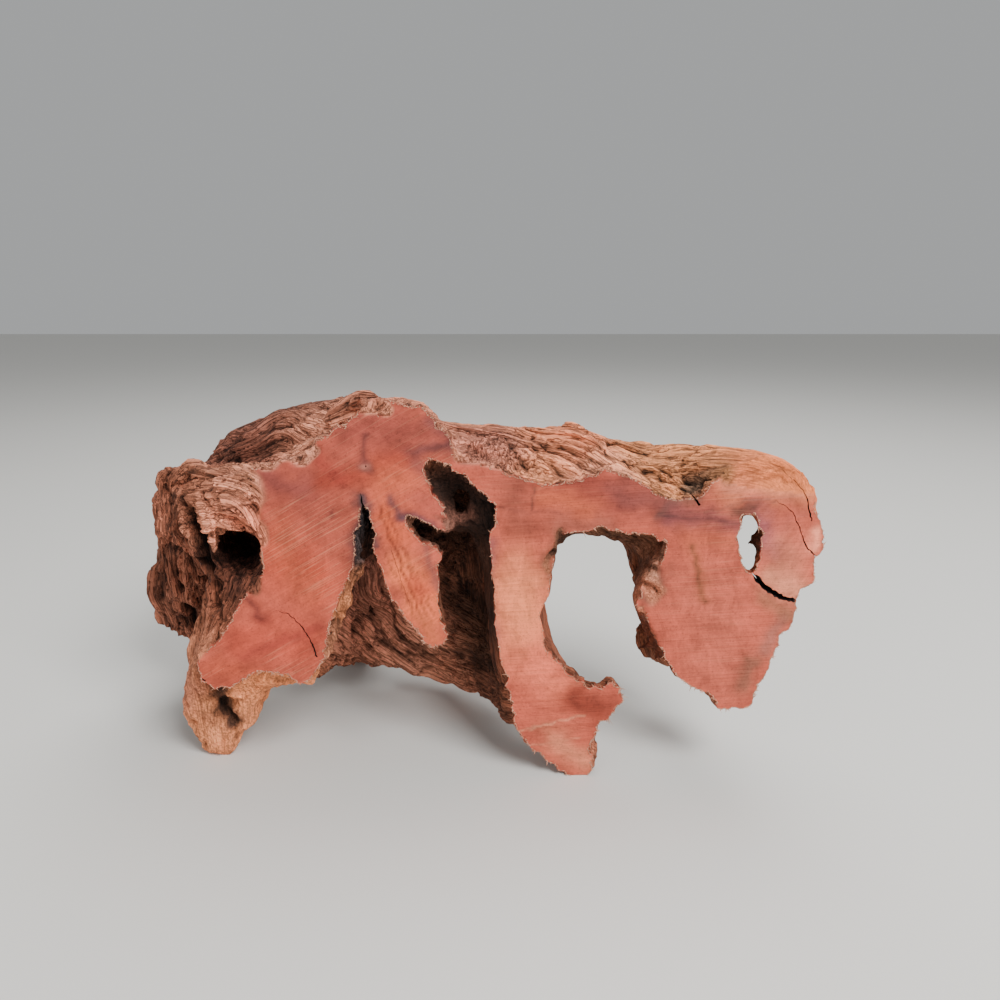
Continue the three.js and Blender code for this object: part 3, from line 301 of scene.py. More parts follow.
# Stains on the sawn face: a line from one point to another, its half width and its colour
FACE_STAINS = [
    ("upper left", (-60, 94), (-50, 86), 12, "#b4604f", 0.8),
    ("purple left", (-64, 97), (-56, 92), 4.5, "#8e4d49", 0.65),
    ("top", (-42, 109), (-22, 108), 8, "#a9584c", 0.85),
    ("purple top edge", (-19, 112), (-12, 106), 2.5, "#8b5350", 0.75),
    ("crease", (-26, 102.4), (-13, 104.8), 1.2, "#664348", 1.0),
    ("crease glow", (-28, 101.4), (-12, 104), 2.6, "#a25a50", 0.6),
    ("red band", (-50, 94), (-28, 100), 3.2, "#b8523f", 0.75),
    ("red patch", (-51, 101), (-45, 96), 3, "#a9483c", 0.7),
    ("small dark spot", (-48.5, 84.5), (-47.8, 85.4), 0.9, "#7c3a35", 0.8),
    ("small dark spot 2", (-44, 92.5), (-43.4, 93.2), 0.9, "#8a3d33", 0.7),
    ("orange middle", (-64, 72), (-55, 66), 9, "#cb6249", 0.8),
    ("orange centre", (-34, 95), (-22, 94), 5, "#d87a5c", 0.75),
    ("pale below the eye", (-62, 80), (-58, 60), 4, "#cf7458", 0.5),
    ("knot", (-70.6, 53.4), (-70, 51.6), 1.5, "#5f3030", 1.0),
    ("knot heart", (-70.4, 52.8), (-70.1, 52.0), 0.65, "#341c1c", 1.0),
    ("knot tail", (-75.4, 61), (-70.8, 55), 1.0, "#88443d", 0.85),
    ("left leg", (-77, 46), (-60, 46), 8, "#c45f4b", 0.8),
    ("left leg band", (-76, 41), (-54, 51), 1.8, "#a94b40", 0.6),
    ("left leg low", (-86, 36), (-74, 34), 5, "#c9694f", 0.7),
    ("finger top", (-31, 86), (-28.6, 80), 5, "#e5805c", 0.9),
    ("finger middle", (-28, 68), (-23, 57), 6, "#f79c74", 0.95),
    ("pale score on the leg", (5.5, 15.2), (25.7, 20.7), 0.4, "#ecb99e", 0.7),
    ("pale score on the leg, low", (9.5, 10.2), (25, 13.4), 0.3, "#e3aa90", 0.5),
    ("finger line", (-34.5, 88), (-20.8, 46), 0.45, "#8a3f2b", 0.9),
    ("finger line 2", (-31.8, 86), (-19.4, 48), 0.42, "#9c4c36", 0.75),
    ("finger line 3", (-36.4, 82), (-23, 48), 0.3, "#9a5038", 0.7),
    ("finger line 4", (-28, 76), (-18.6, 52), 0.3, "#a5583f", 0.7),
    ("right finger ring", (78.2, 69.4), (79.8, 69.4), 1.2, "#b86f5c", 0.6),
    ("right finger ring glow", (79, 72.6), (81.6, 70), 0.8, "#eeb197", 0.5),
    ("finger dark", (-25, 63), (-22, 61), 3, "#c45a43", 0.6),
    ("finger tip", (-21, 52), (-19, 47), 3, "#d98462", 0.8),
    ("finger edge", (-21, 76), (-18.2, 62), 1.3, "#a0625a", 0.8),
    ("slit edge left", (-39.6, 90), (-41.0, 70), 2.0, "#453b3d", 0.95),
    ("slit edge right", (-38.6, 90), (-36.4, 76), 1.3, "#6c4e50", 0.85),
    ("hole edge", (-30.2, 89.6), (-27.6, 84.8), 1.4, "#6b4b50", 0.85),
    ("hole edge low", (-27.6, 84.8), (-19, 82.4), 1.4, "#70505a", 0.85),
    ("tooth", (-21, 90), (-17, 87), 5, "#c0685a", 0.7),
    ("tooth edge", (-24, 100), (-16, 92), 1.8, "#9b5a55", 0.6),
    ("cave edge right", (-3.1, 76), (-1.4, 40), 1.6, "#9a5f66", 0.75),
    ("leg top", (5, 92), (6, 82), 7, "#a9604f", 0.75),
    ("leg upper", (4, 74), (10, 70), 7, "#c47059", 0.6),
    ("leg middle", (5, 64), (7, 46), 8, "#fbb08c", 0.95),
    ("leg low", (9, 40), (17, 32), 8, "#f4997f", 0.95),
    ("hook", (22, 27), (31, 23), 5.0, "#954433", 0.9),
    ("leg tip", (18, 11), (25, 4), 5.0, "#e09f83", 0.85),
    ("leg brown edge", (17, 80), (13.4, 66), 1.9, "#8a5c48", 0.65),
    ("arm left", (16, 94), (32, 90), 7, "#a04f42", 0.95),
    ("arm orange", (14, 90), (24, 86), 4, "#cc7354", 0.7),
    ("arm middle", (34, 91), (50, 87), 5, "#94534c", 0.85),
    ("arm purple", (50, 84), (66, 83.4), 4, "#8f5154", 0.8),
    ("arm dark streak", (45, 85), (69, 82.7), 0.7, "#5e3a3c", 0.75),
    ("arm stain", (44, 84), (50, 89), 1.5, "#77504a", 0.6),
    ("arm low", (17, 82), (30, 80.5), 3.5, "#a56353", 0.7),
    ("arm end grey", (47, 92.6), (55, 91), 3, "#8c5f50", 0.8),
    ("lobe top", (54, 79), (64, 77), 4.5, "#c26b50", 0.7),
    ("lobe middle", (59, 62), (65, 46), 11, "#cf7a66", 0.8),
    ("lobe low", (60, 36), (66, 30), 9, "#cf7965", 0.8),
    ("lobe slit stain", (54.8, 75.6), (60.2, 58.6), 0.8, "#704834", 0.95),
    ("lobe slit glow", (55, 75), (60.2, 60), 2.3, "#b06a4c", 0.5),
    ("lobe grey left", (44.6, 60), (48, 66), 2.6, "#7c5245", 0.8),
    ("lobe right edge", (79, 43), (84, 54), 2.2, "#a07468", 0.6),
    ("lobe corner grey", (73.4, 32), (76.4, 39), 2.6, "#946552", 0.8),
    ("lobe upper right", (76, 60), (86, 54), 2.6, "#b07a60", 0.7),
    ("right finger purple", (74, 84), (79, 76), 3.5, "#9c5f67", 0.8),
    ("right finger middle", (82, 74), (84, 66), 6, "#d48c75", 0.85),
    ("right finger low", (80, 66), (86, 62), 4, "#e6a88e", 0.9),
    ("chip", (90.2, 80), (90.2, 75.2), 2.0, "#fbb8a0", 1.0),
    ("smooth top", (64, 93), (86, 91), 5, "#c98062", 0.9),
    ("slot top", (66, 87), (72, 86.4), 1.6, "#5f4038", 0.75),
    ("pith shade", (-37.6, 99.2), (-37.4, 98.6), 1.9, "#6d4343", 0.85),
    ("pith", (-37.6, 99.1), (-37.5, 98.8), 1.05, "#cf9181", 0.9),
    ("pith streak", (-37.2, 108), (-37.5, 100.4), 0.9, "#7e423d", 0.8),
    ("smooth end arc", (57.9, 85.7), (69.3, 89.1), 0.35, "#8d5a4c", 0.6),
    ("smooth end arc, right", (69.3, 89.1), (78, 89.1), 0.35, "#8d5a4c", 0.6),
    ("split line", (9.8, 93), (9.3, 87), 0.5, "#6f4038", 0.75),
    ("faint line", (0, 86.9), (18, 85.2), 0.45, "#8d4f44", 0.6),
]
# Places where the sawn face is worn: a line, its half width, how deep it lies and how rough it is
WORN_PLACES = [
    ("ear", (-89, 88), (-77, 90), 13, 1.6, 1.0),
    ("over the eye", (-76, 86), (-69.5, 79), 5.5, 0.9, 0.9),
    ("brow", (-76, 97), (-52, 104), 3.6, 0.8, 0.7),
    ("eye corner", (-74, 62), (-71, 66), 3.0, 0.8, 0.6),
    ("cheek edge", (-86, 50), (-94, 40), 3.0, 1.0, 0.6),
    ("arm root", (-10, 103), (8, 98), 2.8, 1.0, 0.7),
    ("smooth end", (66, 103), (90, 98), 13, 3.2, 0.10),
    ("lobe bark", (42, 67), (45, 61), 4.6, 1.3, 0.9),
    ("lobe bark, low", (42, 54), (49, 44), 2.2, 1.0, 0.9),
    ("leg edge", (17.8, 78.6), (14.2, 66), 2.2, 0.8, 0.7),
    ("tooth knob", (-14.2, 83), (-13.8, 80), 2.8, 0.6, 0.8),
    ("leg bark", (-49, 44), (-46, 52), 1.4, 0.6, 0.6),
    ("top ridge", (-46, 115.4), (-32, 116), 2.2, 0.8, 0.7),
]
# Where the torn fibres stand longer: place, radius and how many times longer
FRAYS = [((-19, 0, 49), 5, 1.5), ((26, 0, 26), 9, 1.5), ((68, 0, 25), 9, 1.4), ((-58, 0, 37), 8, 1.4),
         ((42, 0, 58), 10, 1.6), ((-38, 0, 114), 9, 1.5), ((12, 0, 80), 6, 1.3),
         ((-32, 0, 68), 8, 0.6), ((0, 0, 60), 14, 0.6)]
# Centre lines of the limbs on the sawn face, which the growth rings follow
LIMB_AXES = [[(-92, 80), (-66, 86), (-38, 99), (-8, 92), (20, 88), (48, 86), (66, 84), (80, 92)],
             [(-60, 84), (-62, 62), (-68, 46), (-86, 36)], [(-30, 92), (-27, 70), (-20, 50)],
             [(4, 88), (4, 60), (9, 38), (26, 27)], [(57, 80), (60, 60), (66, 30)], [(84, 94), (88, 82), (79, 69.4)]]
# Cracks in the sawn face: points, width at the start and at the end, depth
CRACKS = {
    "slit": ([(-39.3, 91.4), (-39.0, 88.6), (-38.8, 86.0), (-38.6, 82.0), (-38.4, 78.0)], 0.25, 1.9, 16.0),
    "left leg": ([(-66.5, 55.7), (-62.4, 54.5), (-59.4, 51.3), (-57.3, 48.0), (-56.0, 45.1), (-54.7, 40.6)], 0.16, 0.5, 3.0),
    "below the slot": ([(73.4, 67.2), (76.6, 63.6), (79.2, 61.6), (82.6, 59.6), (88.4, 58.0)], 1.7, 0.9, 7.0),
    "right finger arc": ([(77.7, 89.0), (80.8, 87.4), (83.3, 85.2), (85.3, 81.6), (86.8, 77.8), (88.2, 75.0),
                          (92.4, 71.0)], 0.18, 0.45, 1.6),
    "arm end": ([(46.4, 95.2), (49.6, 94.4), (52.2, 92.4), (54.4, 90.7), (56.5, 87.6)], 1.2, 0.5, 4.0),
    "finger line": ([(-31.6, 76), (-28.8, 65), (-26.4, 56.6)], 0.1, 0.16, 0.5),
    "rim of the right end": ([(75.5, 99.8), (79.6, 98.0), (81.8, 95.6), (84.8, 93.4), (87.0, 90.0), (88.0, 86.0),
                              (88.8, 83)], 0.25, 0.4, 5.0),
    "foot seam": ([(-93.6, 43.4), (-92.6, 36.5), (-89.0, 32.6)], 0.8, 0.5, 4.0),
    "pith": ([(-37.8, 99.2), (-37.4, 98.8)], 0.6, 0.6, 1.2),
}


def lattice(points, size, seed):
    """Smooth random values of unit spread, with features of about that size in mm."""
    cells = 48
    table = np.random.default_rng(seed).standard_normal((cells,) * 3).astype(np.float32)
    place = points / size + 500.0
    base = np.floor(place).astype(np.int64)
    part = place - base
    part = part * part * (3 - 2 * part)
    total = np.zeros(len(points), np.float32)
    for corner in product((0, 1), repeat=3):
        step = np.array(corner)
        share = np.prod(np.where(step == 1, part, 1 - part), axis=1)
        cell = (base + step) % cells
        total += share * table[cell[:, 0], cell[:, 1], cell[:, 2]]
    return total * 1.6


def off_segment(points, start, end):
    """Distance of each point from a line from start to end."""
    start, end = np.array(start, float), np.array(end, float)
    along = end - start
    part = np.clip((points - start) @ along / max(along @ along, 1e-9), 0, 1)
    return np.linalg.norm(points - start - part[:, None] * along, axis=1)


def unit(vectors):
    """The same vectors with length one."""
    return vectors / np.maximum(np.linalg.norm(vectors, axis=-1, keepdims=True), 1e-9)


def smoothstep(low, high, values):
    """0 below low, 1 above high and smooth between."""
    part = np.clip((values - low) / (high - low), 0, 1)
    return part * part * (3 - 2 * part)


def places(points, spots, base):
    """A value that each spot pulls towards its own near its place."""
    weight = np.full(len(points), 0.35)
    total = weight * base
    for place, radius, value in spots:
        near = np.exp(-(np.linalg.norm(points - np.array(place, float), axis=1) / radius) ** 2)
        weight += near * 3
        total += near * 3 * value
    return total / weight


def coordinates(mesh):
    """The vertices of a mesh as an array."""
    flat = np.empty(len(mesh.vertices) * 3, np.float32)
    mesh.vertices.foreach_get("co", flat)
    return flat.reshape(-1, 3).astype(float)


def vertex_normals(mesh):
    """The vertex normals of a mesh as an array."""
    flat = np.empty(len(mesh.vertices) * 3, np.float32)
    mesh.vertex_normals.foreach_get("vector", flat)
    return flat.reshape(-1, 3).astype(float)


def set_coordinates(mesh, points):
    """Moves the vertices of a mesh."""
    mesh.vertices.foreach_set("co", points.astype(np.float32).ravel())
    mesh.update()


def applied(thing):
    """The mesh of an object with its modifiers applied, in place of its old mesh."""
    graph = bpy.context.evaluated_depsgraph_get()
    done = bpy.data.meshes.new_from_object(thing.evaluated_get(graph))
    old = thing.data
    thing.modifiers.clear()
    thing.data = done
    bpy.data.meshes.remove(old)
    return done


def new_object(name, points, faces):
    """A linked object made from points and faces."""
    mesh = bpy.data.meshes.new(name)
    mesh.from_pydata([tuple(p) for p in points], [], faces)
    mesh.update()
    thing = bpy.data.objects.new(name, mesh)
    bpy.context.scene.collection.objects.link(thing)
    return thing


def blank_root(step):
    """The solid as an evenly meshed blank in mm, with stock left in front of the saw cut."""
    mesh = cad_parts["driftwood"].data.copy()
    thing = bpy.data.objects.new("driftwood_root", mesh)
    bpy.context.scene.collection.objects.link(thing)
    set_coordinates(mesh, (coordinates(mesh) - ORIGIN) / MM)
    work = bmesh.new()
    work.from_mesh(mesh)
    bmesh.ops.remove_doubles(work, verts=work.verts, dist=0.01)
    front = [f for f in work.faces if f.normal.y < -0.99 and abs(f.calc_center_median().y) < 0.05]
    grown = bmesh.ops.extrude_face_region(work, geom=front)
    bmesh.ops.translate(work, vec=(0, -SAW_STOCK, 0), verts=[v for v in grown["geom"] if isinstance(v, bmesh.types.BMVert)])
    bmesh.ops.delete(work, geom=front, context="FACES")
    for line in GROWTHS.values():
        points, faces = tube(line)
        made = [work.verts.new(p) for p in points]
        grown = [work.faces.new([made[i] for i in face]) for face in faces]
        bmesh.ops.recalc_face_normals(work, faces=grown)
    work.to_mesh(mesh)
    work.free()
    mesh.materials.clear()
    for name in list(mesh.attributes.keys()):
        if name.startswith("UV") or name.startswith("COLOR"):
            mesh.attributes.remove(mesh.attributes[name])
    change = thing.modifiers.new("even mesh", "REMESH")
    change.mode = "VOXEL"
    change.voxel_size = step
    applied(thing)
    return thing


SAW_STOCK = 4.0


def smooth_facets(mesh, rounds):
    """Takes out the solid's facets, least near the saw cut, where its outline is kept."""
    points = coordinates(mesh)
    pairs = np.empty(len(mesh.edges) * 2, np.int64)
    mesh.edges.foreach_get("vertices", pairs)
    pairs = pairs.reshape(-1, 2)
    count = np.bincount(pairs.ravel(), minlength=len(points)).astype(float)[:, None]
    freedom = (0.10 + 0.90 * smoothstep(1.0, 7.0, points[:, 1]))[:, None]
    for turn in range(rounds):
        for pull in (0.6, -0.25):
            mean = np.zeros_like(points)
            for axis in range(3):
                mean[:, axis] = (np.bincount(pairs[:, 0], points[pairs[:, 1], axis], len(points))
                                 + np.bincount(pairs[:, 1], points[pairs[:, 0], axis], len(points)))
            points = points + (mean / count - points) * pull * freedom
    set_coordinates(mesh, points)


class Nearest:
    """Finds the nearest surface point by a grid of cells."""

    def __init__(self, points, size):
        self.size = size
        self.low = points.min(0) - 3 * size
        shape = np.ceil((points.max(0) - self.low) / size).astype(int) + 4
        self.cells = np.full(shape, -1, np.int32)
        cell = self.cell(points)
        self.cells[cell[:, 0], cell[:, 1], cell[:, 2]] = np.arange(len(points))
        for _ in range(2):
            for axis in range(3):
                for way in (1, -1):
                    moved = np.roll(self.cells, way, axis)
                    empty = self.cells < 0
                    self.cells[empty] = moved[empty]

    def cell(self, points):
        """The grid cell of each point."""
        found = ((points - self.low) / self.size).astype(np.int64)
        return np.clip(found, 0, np.array(self.cells.shape) - 1)

    def of(self, points):
        """The number of the nearest surface point, or -1."""
        cell = self.cell(points)
        return self.cells[cell[:, 0], cell[:, 1], cell[:, 2]]


def rounded_line(line, spacing):
    """A line through the given points, rounded and evenly spaced."""
    line = np.array(line, float)
    padded = np.vstack([2 * line[0] - line[1], line, 2 * line[-1] - line[-2]])
    parts = []
    for k in range(len(line) - 1):
        a, b, c, e = padded[k:k + 4]
        count = max(2, int(np.linalg.norm(c - b) / spacing))
        t = np.linspace(0, 1, count, endpoint=False)[:, None]
        parts.append(0.5 * (2 * b + (c - a) * t + (2 * a - 5 * b + 4 * c - e) * t ** 2
                            + (3 * b - a - 3 * c + e) * t ** 3))
    parts.append(line[-1:])
    return np.concatenate(parts)


def swept_place(points, line):
    """Two offsets across a line and one length along it for each point, and the distance from the line."""
    curve = rounded_line(line, 2.0)
    ways = unit(np.gradient(curve, axis=0))
    lengths = np.concatenate([[0], np.cumsum(np.linalg.norm(np.diff(curve, axis=0), axis=1))])
    first = unit(np.cross(ways[0], (0.3, 0.2, 1.0)))
    sides = [first]
    for way in ways[1:]:
        side = sides[-1] - way * (sides[-1] @ way)
        sides.append(side / np.linalg.norm(side))
    sides = np.array(sides)
    best = np.full(len(points), 1e18)
    found = np.zeros((len(points), 3))
    for k in range(len(curve) - 1):
        start, along = curve[k], curve[k + 1] - curve[k]
        away = points - start
        raw = away @ along / (along @ along)
        low = -9.0 if k == 0 else 0.0
        high = 9.0 if k == len(curve) - 2 else 1.0
        part = np.clip(raw, low, high)
        off = away - part[:, None] * along
        distance = np.einsum("ij,ij->i", off, off)
        near = distance < best
        best[near] = distance[near]
        share = np.clip(part[near], 0, 1)[:, None]
        side = unit(sides[k] * (1 - share) + sides[k + 1] * share)
        way = unit(ways[k] * (1 - share) + ways[k + 1] * share)
        other = np.cross(way, side)
        found[near, 0] = np.einsum("ij,ij->i", off[near], side)
        found[near, 1] = np.einsum("ij,ij->i", off[near], other)
        found[near, 2] = lengths[k] + part[near] * np.linalg.norm(along)
    return found, np.sqrt(best)


def channels_of(points):
    """For each set of sweep lines, the swept place of each point and its share."""
    places_found, shares = [], []
    for number, (reach, lines) in enumerate(SWEEPS):
        best = np.full(len(points), 1e9)
        place = np.zeros((len(points), 3))
        for k, line in enumerate(lines):
            found, distance = swept_place(points, line)
            near = distance < best
            best[near] = distance[near]
            place[near] = found[near] + k * 300.0
        places_found.append(place)
        shares.append(np.exp(-(best / reach) ** 2) + 1e-4 / (1 + best))
    shares = np.array(shares) ** 4
    return places_found, shares / shares.sum(0)


def streaks(channels, across, along, seed):
    """Random streaks of that width and length in mm, drawn out along the sweep lines."""
    total = np.zeros(len(channels[0][0]))
    for number, (place, share) in enumerate(zip(*channels)):
        scaled = place / np.array((across, across, along))
        total += share * lattice(scaled, 1.0, seed + 100 * number)
    return total


def tube(line):
    """Points and faces of a closed tube through places with radii."""
    line = np.array(line, float)
    curve = rounded_line(line[:, :3], 1.2)
    spread = np.linspace(0, 1, len(line))
    radii = np.interp(np.linspace(0, 1, len(curve)), spread, line[:, 3])
    ways = unit(np.gradient(curve, axis=0))
    side = unit(np.cross(ways, (0.31, 0.9, 0.2)))
    other = np.cross(ways, side)
    sides = 10
    turn = np.arange(sides) * 2 * math.pi / sides
    rings = (curve[:, None] + radii[:, None, None] * (side[:, None] * np.cos(turn)[None, :, None]
                                                      + other[:, None] * np.sin(turn)[None, :, None]))
    points = np.vstack([rings.reshape(-1, 3), curve[:1] - ways[:1] * radii[0] * 0.7,
                        curve[-1:] + ways[-1:] * radii[-1] * 0.7])
    faces = []
    for k in range(len(curve) - 1):
        for m in range(sides):
            n = (m + 1) % sides
            faces.append((k * sides + m, k * sides + n, (k + 1) * sides + n, (k + 1) * sides + m))
    last = (len(curve) - 1) * sides
    for m in range(sides):
        n = (m + 1) % sides
        faces.append((len(rings) * sides, n, m))
        faces.append((len(rings) * sides + 1, last + m, last + n))
    return points, faces


def grain_of(points, normals):
    """The direction of the fibres along the surface at each point."""
    tensor = np.zeros((len(points), 3, 3), np.float32)
    for reach, line in GRAIN_LINES.values():
        for start, end in zip(line[:-1], line[1:]):
            away = off_segment(points, start, end)
            weight = np.exp(-(away / reach) ** 2) + 0.02 / (1 + (away / reach) ** 4)
            way = unit(np.array(end, float) - np.array(start, float))
            tensor += weight[:, None, None].astype(np.float32) * np.outer(way, way).astype(np.float32)
    for centre, radius in KNOTS:
        away = points - np.array(centre, float)
        near = 2.5 * np.exp(-(np.linalg.norm(away, axis=1) / (radius * 1.3)) ** 2)
        round_it = unit(np.cross(normals, away))
        tensor += near[:, None, None] * (round_it[:, :, None] * round_it[:, None, :])
    way = np.linalg.eigh(tensor)[1][:, :, -1]
    way = way - normals * np.sum(way * normals, axis=1, keepdims=True)
    way = unit(way)
    turn = 0.32 * lattice(points, 13, 5) + 0.2 * lattice(points, 5, 6)
    return unit(way * np.cos(turn)[:, None] + np.cross(normals, way) * np.sin(turn)[:, None])


def fibre_layers(points, normals, step):
    """Random layers drawn out along the fibres, each with unit spread."""
    grain = grain_of(points, normals)
    grid = Nearest(points, step)
    sources = [lattice(points, 5.2, 11), lattice(points, 2.7, 12), lattice(points, 1.5, 13)]
    sources.append(np.random.default_rng(14).standard_normal(len(points)))
    reach, stride = 12, 1.5
    totals = [source.copy() for source in sources]
    for side in (1, -1):
        place = points.copy()
        way = grain * side
        here = np.arange(len(points))
        for number in range(reach):
            place = place + way * stride
            found = grid.of(place)
            here = np.where(found >= 0, found, here)
            off = place - points[here]
            place = place - normals[here] * np.sum(off * normals[here], axis=1, keepdims=True)
            fresh = grain[here]
            fresh = fresh * np.where(np.sum(fresh * way, axis=1, keepdims=True) < 0, -1, 1)
            way = unit(way * 0.4 + fresh)
            fade = 1 - (number / reach) ** 2
            for total, source in zip(totals, sources):
                total += source[here] * fade
    return [(t - t.mean()) / t.std() for t in totals], grain


def blend_colours(points, tones, base):
    """The mean of named tones by nearness."""
    weight = np.full(len(points), 0.04)
    total = weight[:, None] * pigment(base)
    for _, place, radius, tone in tones:
        near = np.exp(-(np.linalg.norm(points - np.array(place, float), axis=1) / radius) ** 2)
        near *= (16 / radius) ** 2
        weight += near
        total += near[:, None] * pigment(tone)
    return total / weight[:, None]


def face_colours(points):
    """The sawn face's tone at each point: a base with stains laid over it."""
    flat = points[:, (0, 2)]
    wander = np.stack([lattice(points, 6, 31), lattice(points, 6, 32)], 1) * 0.8
    fine = np.stack([lattice(points, 2, 33), lattice(points, 2, 34)], 1) * 0.25
    colour = np.tile(pigment(FACE_BASE, FACE_SHARE), (len(points), 1))
    for _, start, end, half, tone, strength in FACE_STAINS:
        softness = min(1.0, half / 3)
        away = off_segment(flat + wander * softness + fine, start, end)
        cover = (strength * np.exp(-(away / half) ** 2 * 1.1))[:, None]
        colour = colour * (1 - cover) + pigment(tone, FACE_SHARE) * cover
    return colour


FACE_BASE = "#c96f5b"
FACE_SHARE = 0.69
WEATHERED_BASE = "#95644d"


def ring_distance(points):
    """Distance from the nearest limb's centre line on the sawn face."""
    flat = points[:, (0, 2)]
    found = np.full(len(points), 1e9)
    for axis in LIMB_AXES:
        for start, end in zip(axis[:-1], axis[1:]):
            found = np.minimum(found, off_segment(flat, start, end))
    return found


def worn_of(points, rough):
    """How far each place on the sawn face is worn back, in mm, and how worn it looks from 0 to 1."""
    flat = points[:, (0, 2)] + np.stack([lattice(points, 5, 91), lattice(points, 5, 92)], 1) * 0.9
    depth, look = np.zeros(len(points)), np.zeros(len(points))
    for _, start, end, half, deep, coarse in WORN_PLACES:
        near = 1 - smoothstep(0.35, 1.0, off_segment(flat, start, end) / half)
        depth = np.maximum(depth, near * (deep - coarse * rough * 0.75))
        look = np.maximum(look, near)
    return np.maximum(depth, -0.05), look


def folds_of(points):
    """Curled fibre folds on the worn places, as a height of about unit spread."""
    channels = channels_of(points + wander_of(points))
    folds = 0.6 * streaks(channels, 2.4, 20, 86) + 0.5 * streaks(channels, 1.3, 13, 87)
    return folds - 1.2 * np.exp(-(streaks(channels, 2.0, 17, 88) / 0.18) ** 2) + 0.35


def wander_of(points):
    """How far the fibres stray from their lines at each point."""
    return np.stack([lattice(points, 11, 71 + k) for k in range(3)], 1) * 0.8


def clefts_of(points, on_face=False):
    """How deep the clefts cut at each point, in mm, and how much painted shade darkens them; the sawn face meets the
    near ones.
    """
    keep = np.array((1, 0, 1) if on_face else (1, 1, 1))
    strayed = (points + np.stack([lattice(points, 4, 61 + k) for k in range(3)], 1) * 0.45) * keep
    ragged = 1 + 0.35 * lattice(points, 3, 64)
    depth, black = np.zeros(len(points)), np.zeros(len(points))
    for line, half, deep, dark in CLEFTS.values():
        if on_face and max(place[1] for place in line) > 10:
            continue
        line = [np.array(place) * keep for place in line]
        away = np.full(len(points), 1e9)
        for start, end in zip(line[:-1], line[1:]):
            away = np.minimum(away, off_segment(strayed, start, end))
        near = np.exp(-(away / (half * np.clip(ragged, 0.4, 1.7))) ** 2)
        depth = np.maximum(depth, near * deep)
        # black is painted shade, strongest along the middle of each cleft
        black = np.maximum(black, smoothstep(0.2, 0.75, near) * dark)
    return depth, black


def saw_block(step):
    """The block that the band saw takes away, with the saw's own marks on its face."""
    wide = np.arange(-112.0, 104.0, step)
    high = np.arange(-8.0, 124.0, step)
    x, z = np.meshgrid(wide, high, indexing="ij")
    points = np.stack([x.ravel(), np.zeros(x.size), z.ravel()], 1)
    slope = np.where(points[:, 0] < -20, math.radians(30), math.radians(5))
    across = points[:, 2] * np.cos(slope) - points[:, 0] * np.sin(slope)
    along = points[:, 0] * np.cos(slope) + points[:, 2] * np.sin(slope)
    marks = lattice(np.stack([across, along / 60, along * 0], 1), 1.6, 41) * 0.045
    swell = lattice(points, 14, 42) * 0.10
    points[:, 1] = marks + swell
    worn = worn_of(points, 0)[1] > 0
    depth, look = worn_of(points[worn], folds_of(points[worn]))
    points[worn, 1] += depth + look * clefts_of(points[worn], True)[0] * 0.7
    columns = len(high)
    rows = len(wide)
    faces = []
    for i in range(rows - 1):
        for j in range(columns - 1):
            a = i * columns + j
            faces.append((a, a + columns, a + columns + 1, a + 1))
    rim = [i * columns for i in range(rows)]
    rim += [(rows - 1) * columns + j for j in range(1, columns)]
    rim += [i * columns + columns - 1 for i in range(rows - 2, -1, -1)]
    rim += [j for j in range(columns - 2, 0, -1)]
    front = len(points)
    outer = points[rim].copy()
    outer[:, 1] = -14.0
    points = np.concatenate([points, outer])
    count = len(rim)
    for k in range(count):
        n = (k + 1) % count
        faces.append((rim[n], rim[k], front + k, front + n))
    faces.append(tuple(front + k for k in range(count)))
    block = new_object("saw_block", points, faces)
    tidy_normals(block.data)
    return block


def tidy_normals(mesh):
    """Turns the faces of a closed mesh outwards."""
    work = bmesh.new()
    work.from_mesh(mesh)
    bmesh.ops.recalc_face_normals(work, faces=work.faces)
    work.to_mesh(mesh)
    work.free()


def crack_wedge(name, line, first, last, depth, seed):
    """A ragged wedge that opens a crack along a line of the sawn face."""
    random = np.random.default_rng(seed)
    line = np.array(line, float)
    lengths = np.concatenate([[0], np.cumsum(np.linalg.norm(np.diff(line, axis=0), axis=1))])
    count = max(4, int(lengths[-1] / 0.7))
    at = np.linspace(0, lengths[-1], count)
    flat = np.stack([np.interp(at, lengths, line[:, k]) for k in range(2)], 1)
    way = unit(np.gradient(flat, axis=0))
    side = np.stack([-way[:, 1], way[:, 0]], 1)
    flat = flat + side * (random.standard_normal(count)[:, None] * 0.10)
    width = np.interp(at, [0, lengths[-1]], [first, last]) * (1 + 0.25 * random.standard_normal(count))
    ends = np.clip(np.minimum(at, lengths[-1] - at) / 2.5 + 0.08, 0, 1)
    width = np.clip(width, 0.08, 3) * np.where(at > lengths[-1] / 2, 1, ends) / 2
    points, faces = [], []
    for k in range(count):
        x, z = flat[k]
        sx, sz = side[k] * width[k]
        points += [(x + sx * 1.3, -2.0, z + sz * 1.3), (x - sx * 1.3, -2.0, z - sz * 1.3),
                   (x - sx * 0.7, depth * 0.4, z - sz * 0.7), (x, depth, z), (x + sx * 0.7, depth * 0.4, z + sz * 0.7)]
    for k in range(count - 1):
        a, b = 5 * k, 5 * (k + 1)
        for m in range(5):
            n = (m + 1) % 5
            faces.append((a + m, a + n, b + n, b + m))
    faces.append((4, 3, 2, 1, 0))
    faces.append(tuple(5 * (count - 1) + m for m in range(5)))
    wedge = new_object("wedge_" + name.replace(" ", "_"), points, faces)
    tidy_normals(wedge.data)
    return wedge


def cut(thing, tool):
    """Cuts a tool's shape out of a thing and removes the tool."""
    change = thing.modifiers.new("cut", "BOOLEAN")
    change.operation = "DIFFERENCE"
    change.solver = "MANIFOLD"
    change.object = tool
    change.material_mode = "TRANSFER"
    applied(thing)
    mesh = tool.data
    bpy.data.objects.remove(tool)
    bpy.data.meshes.remove(mesh)


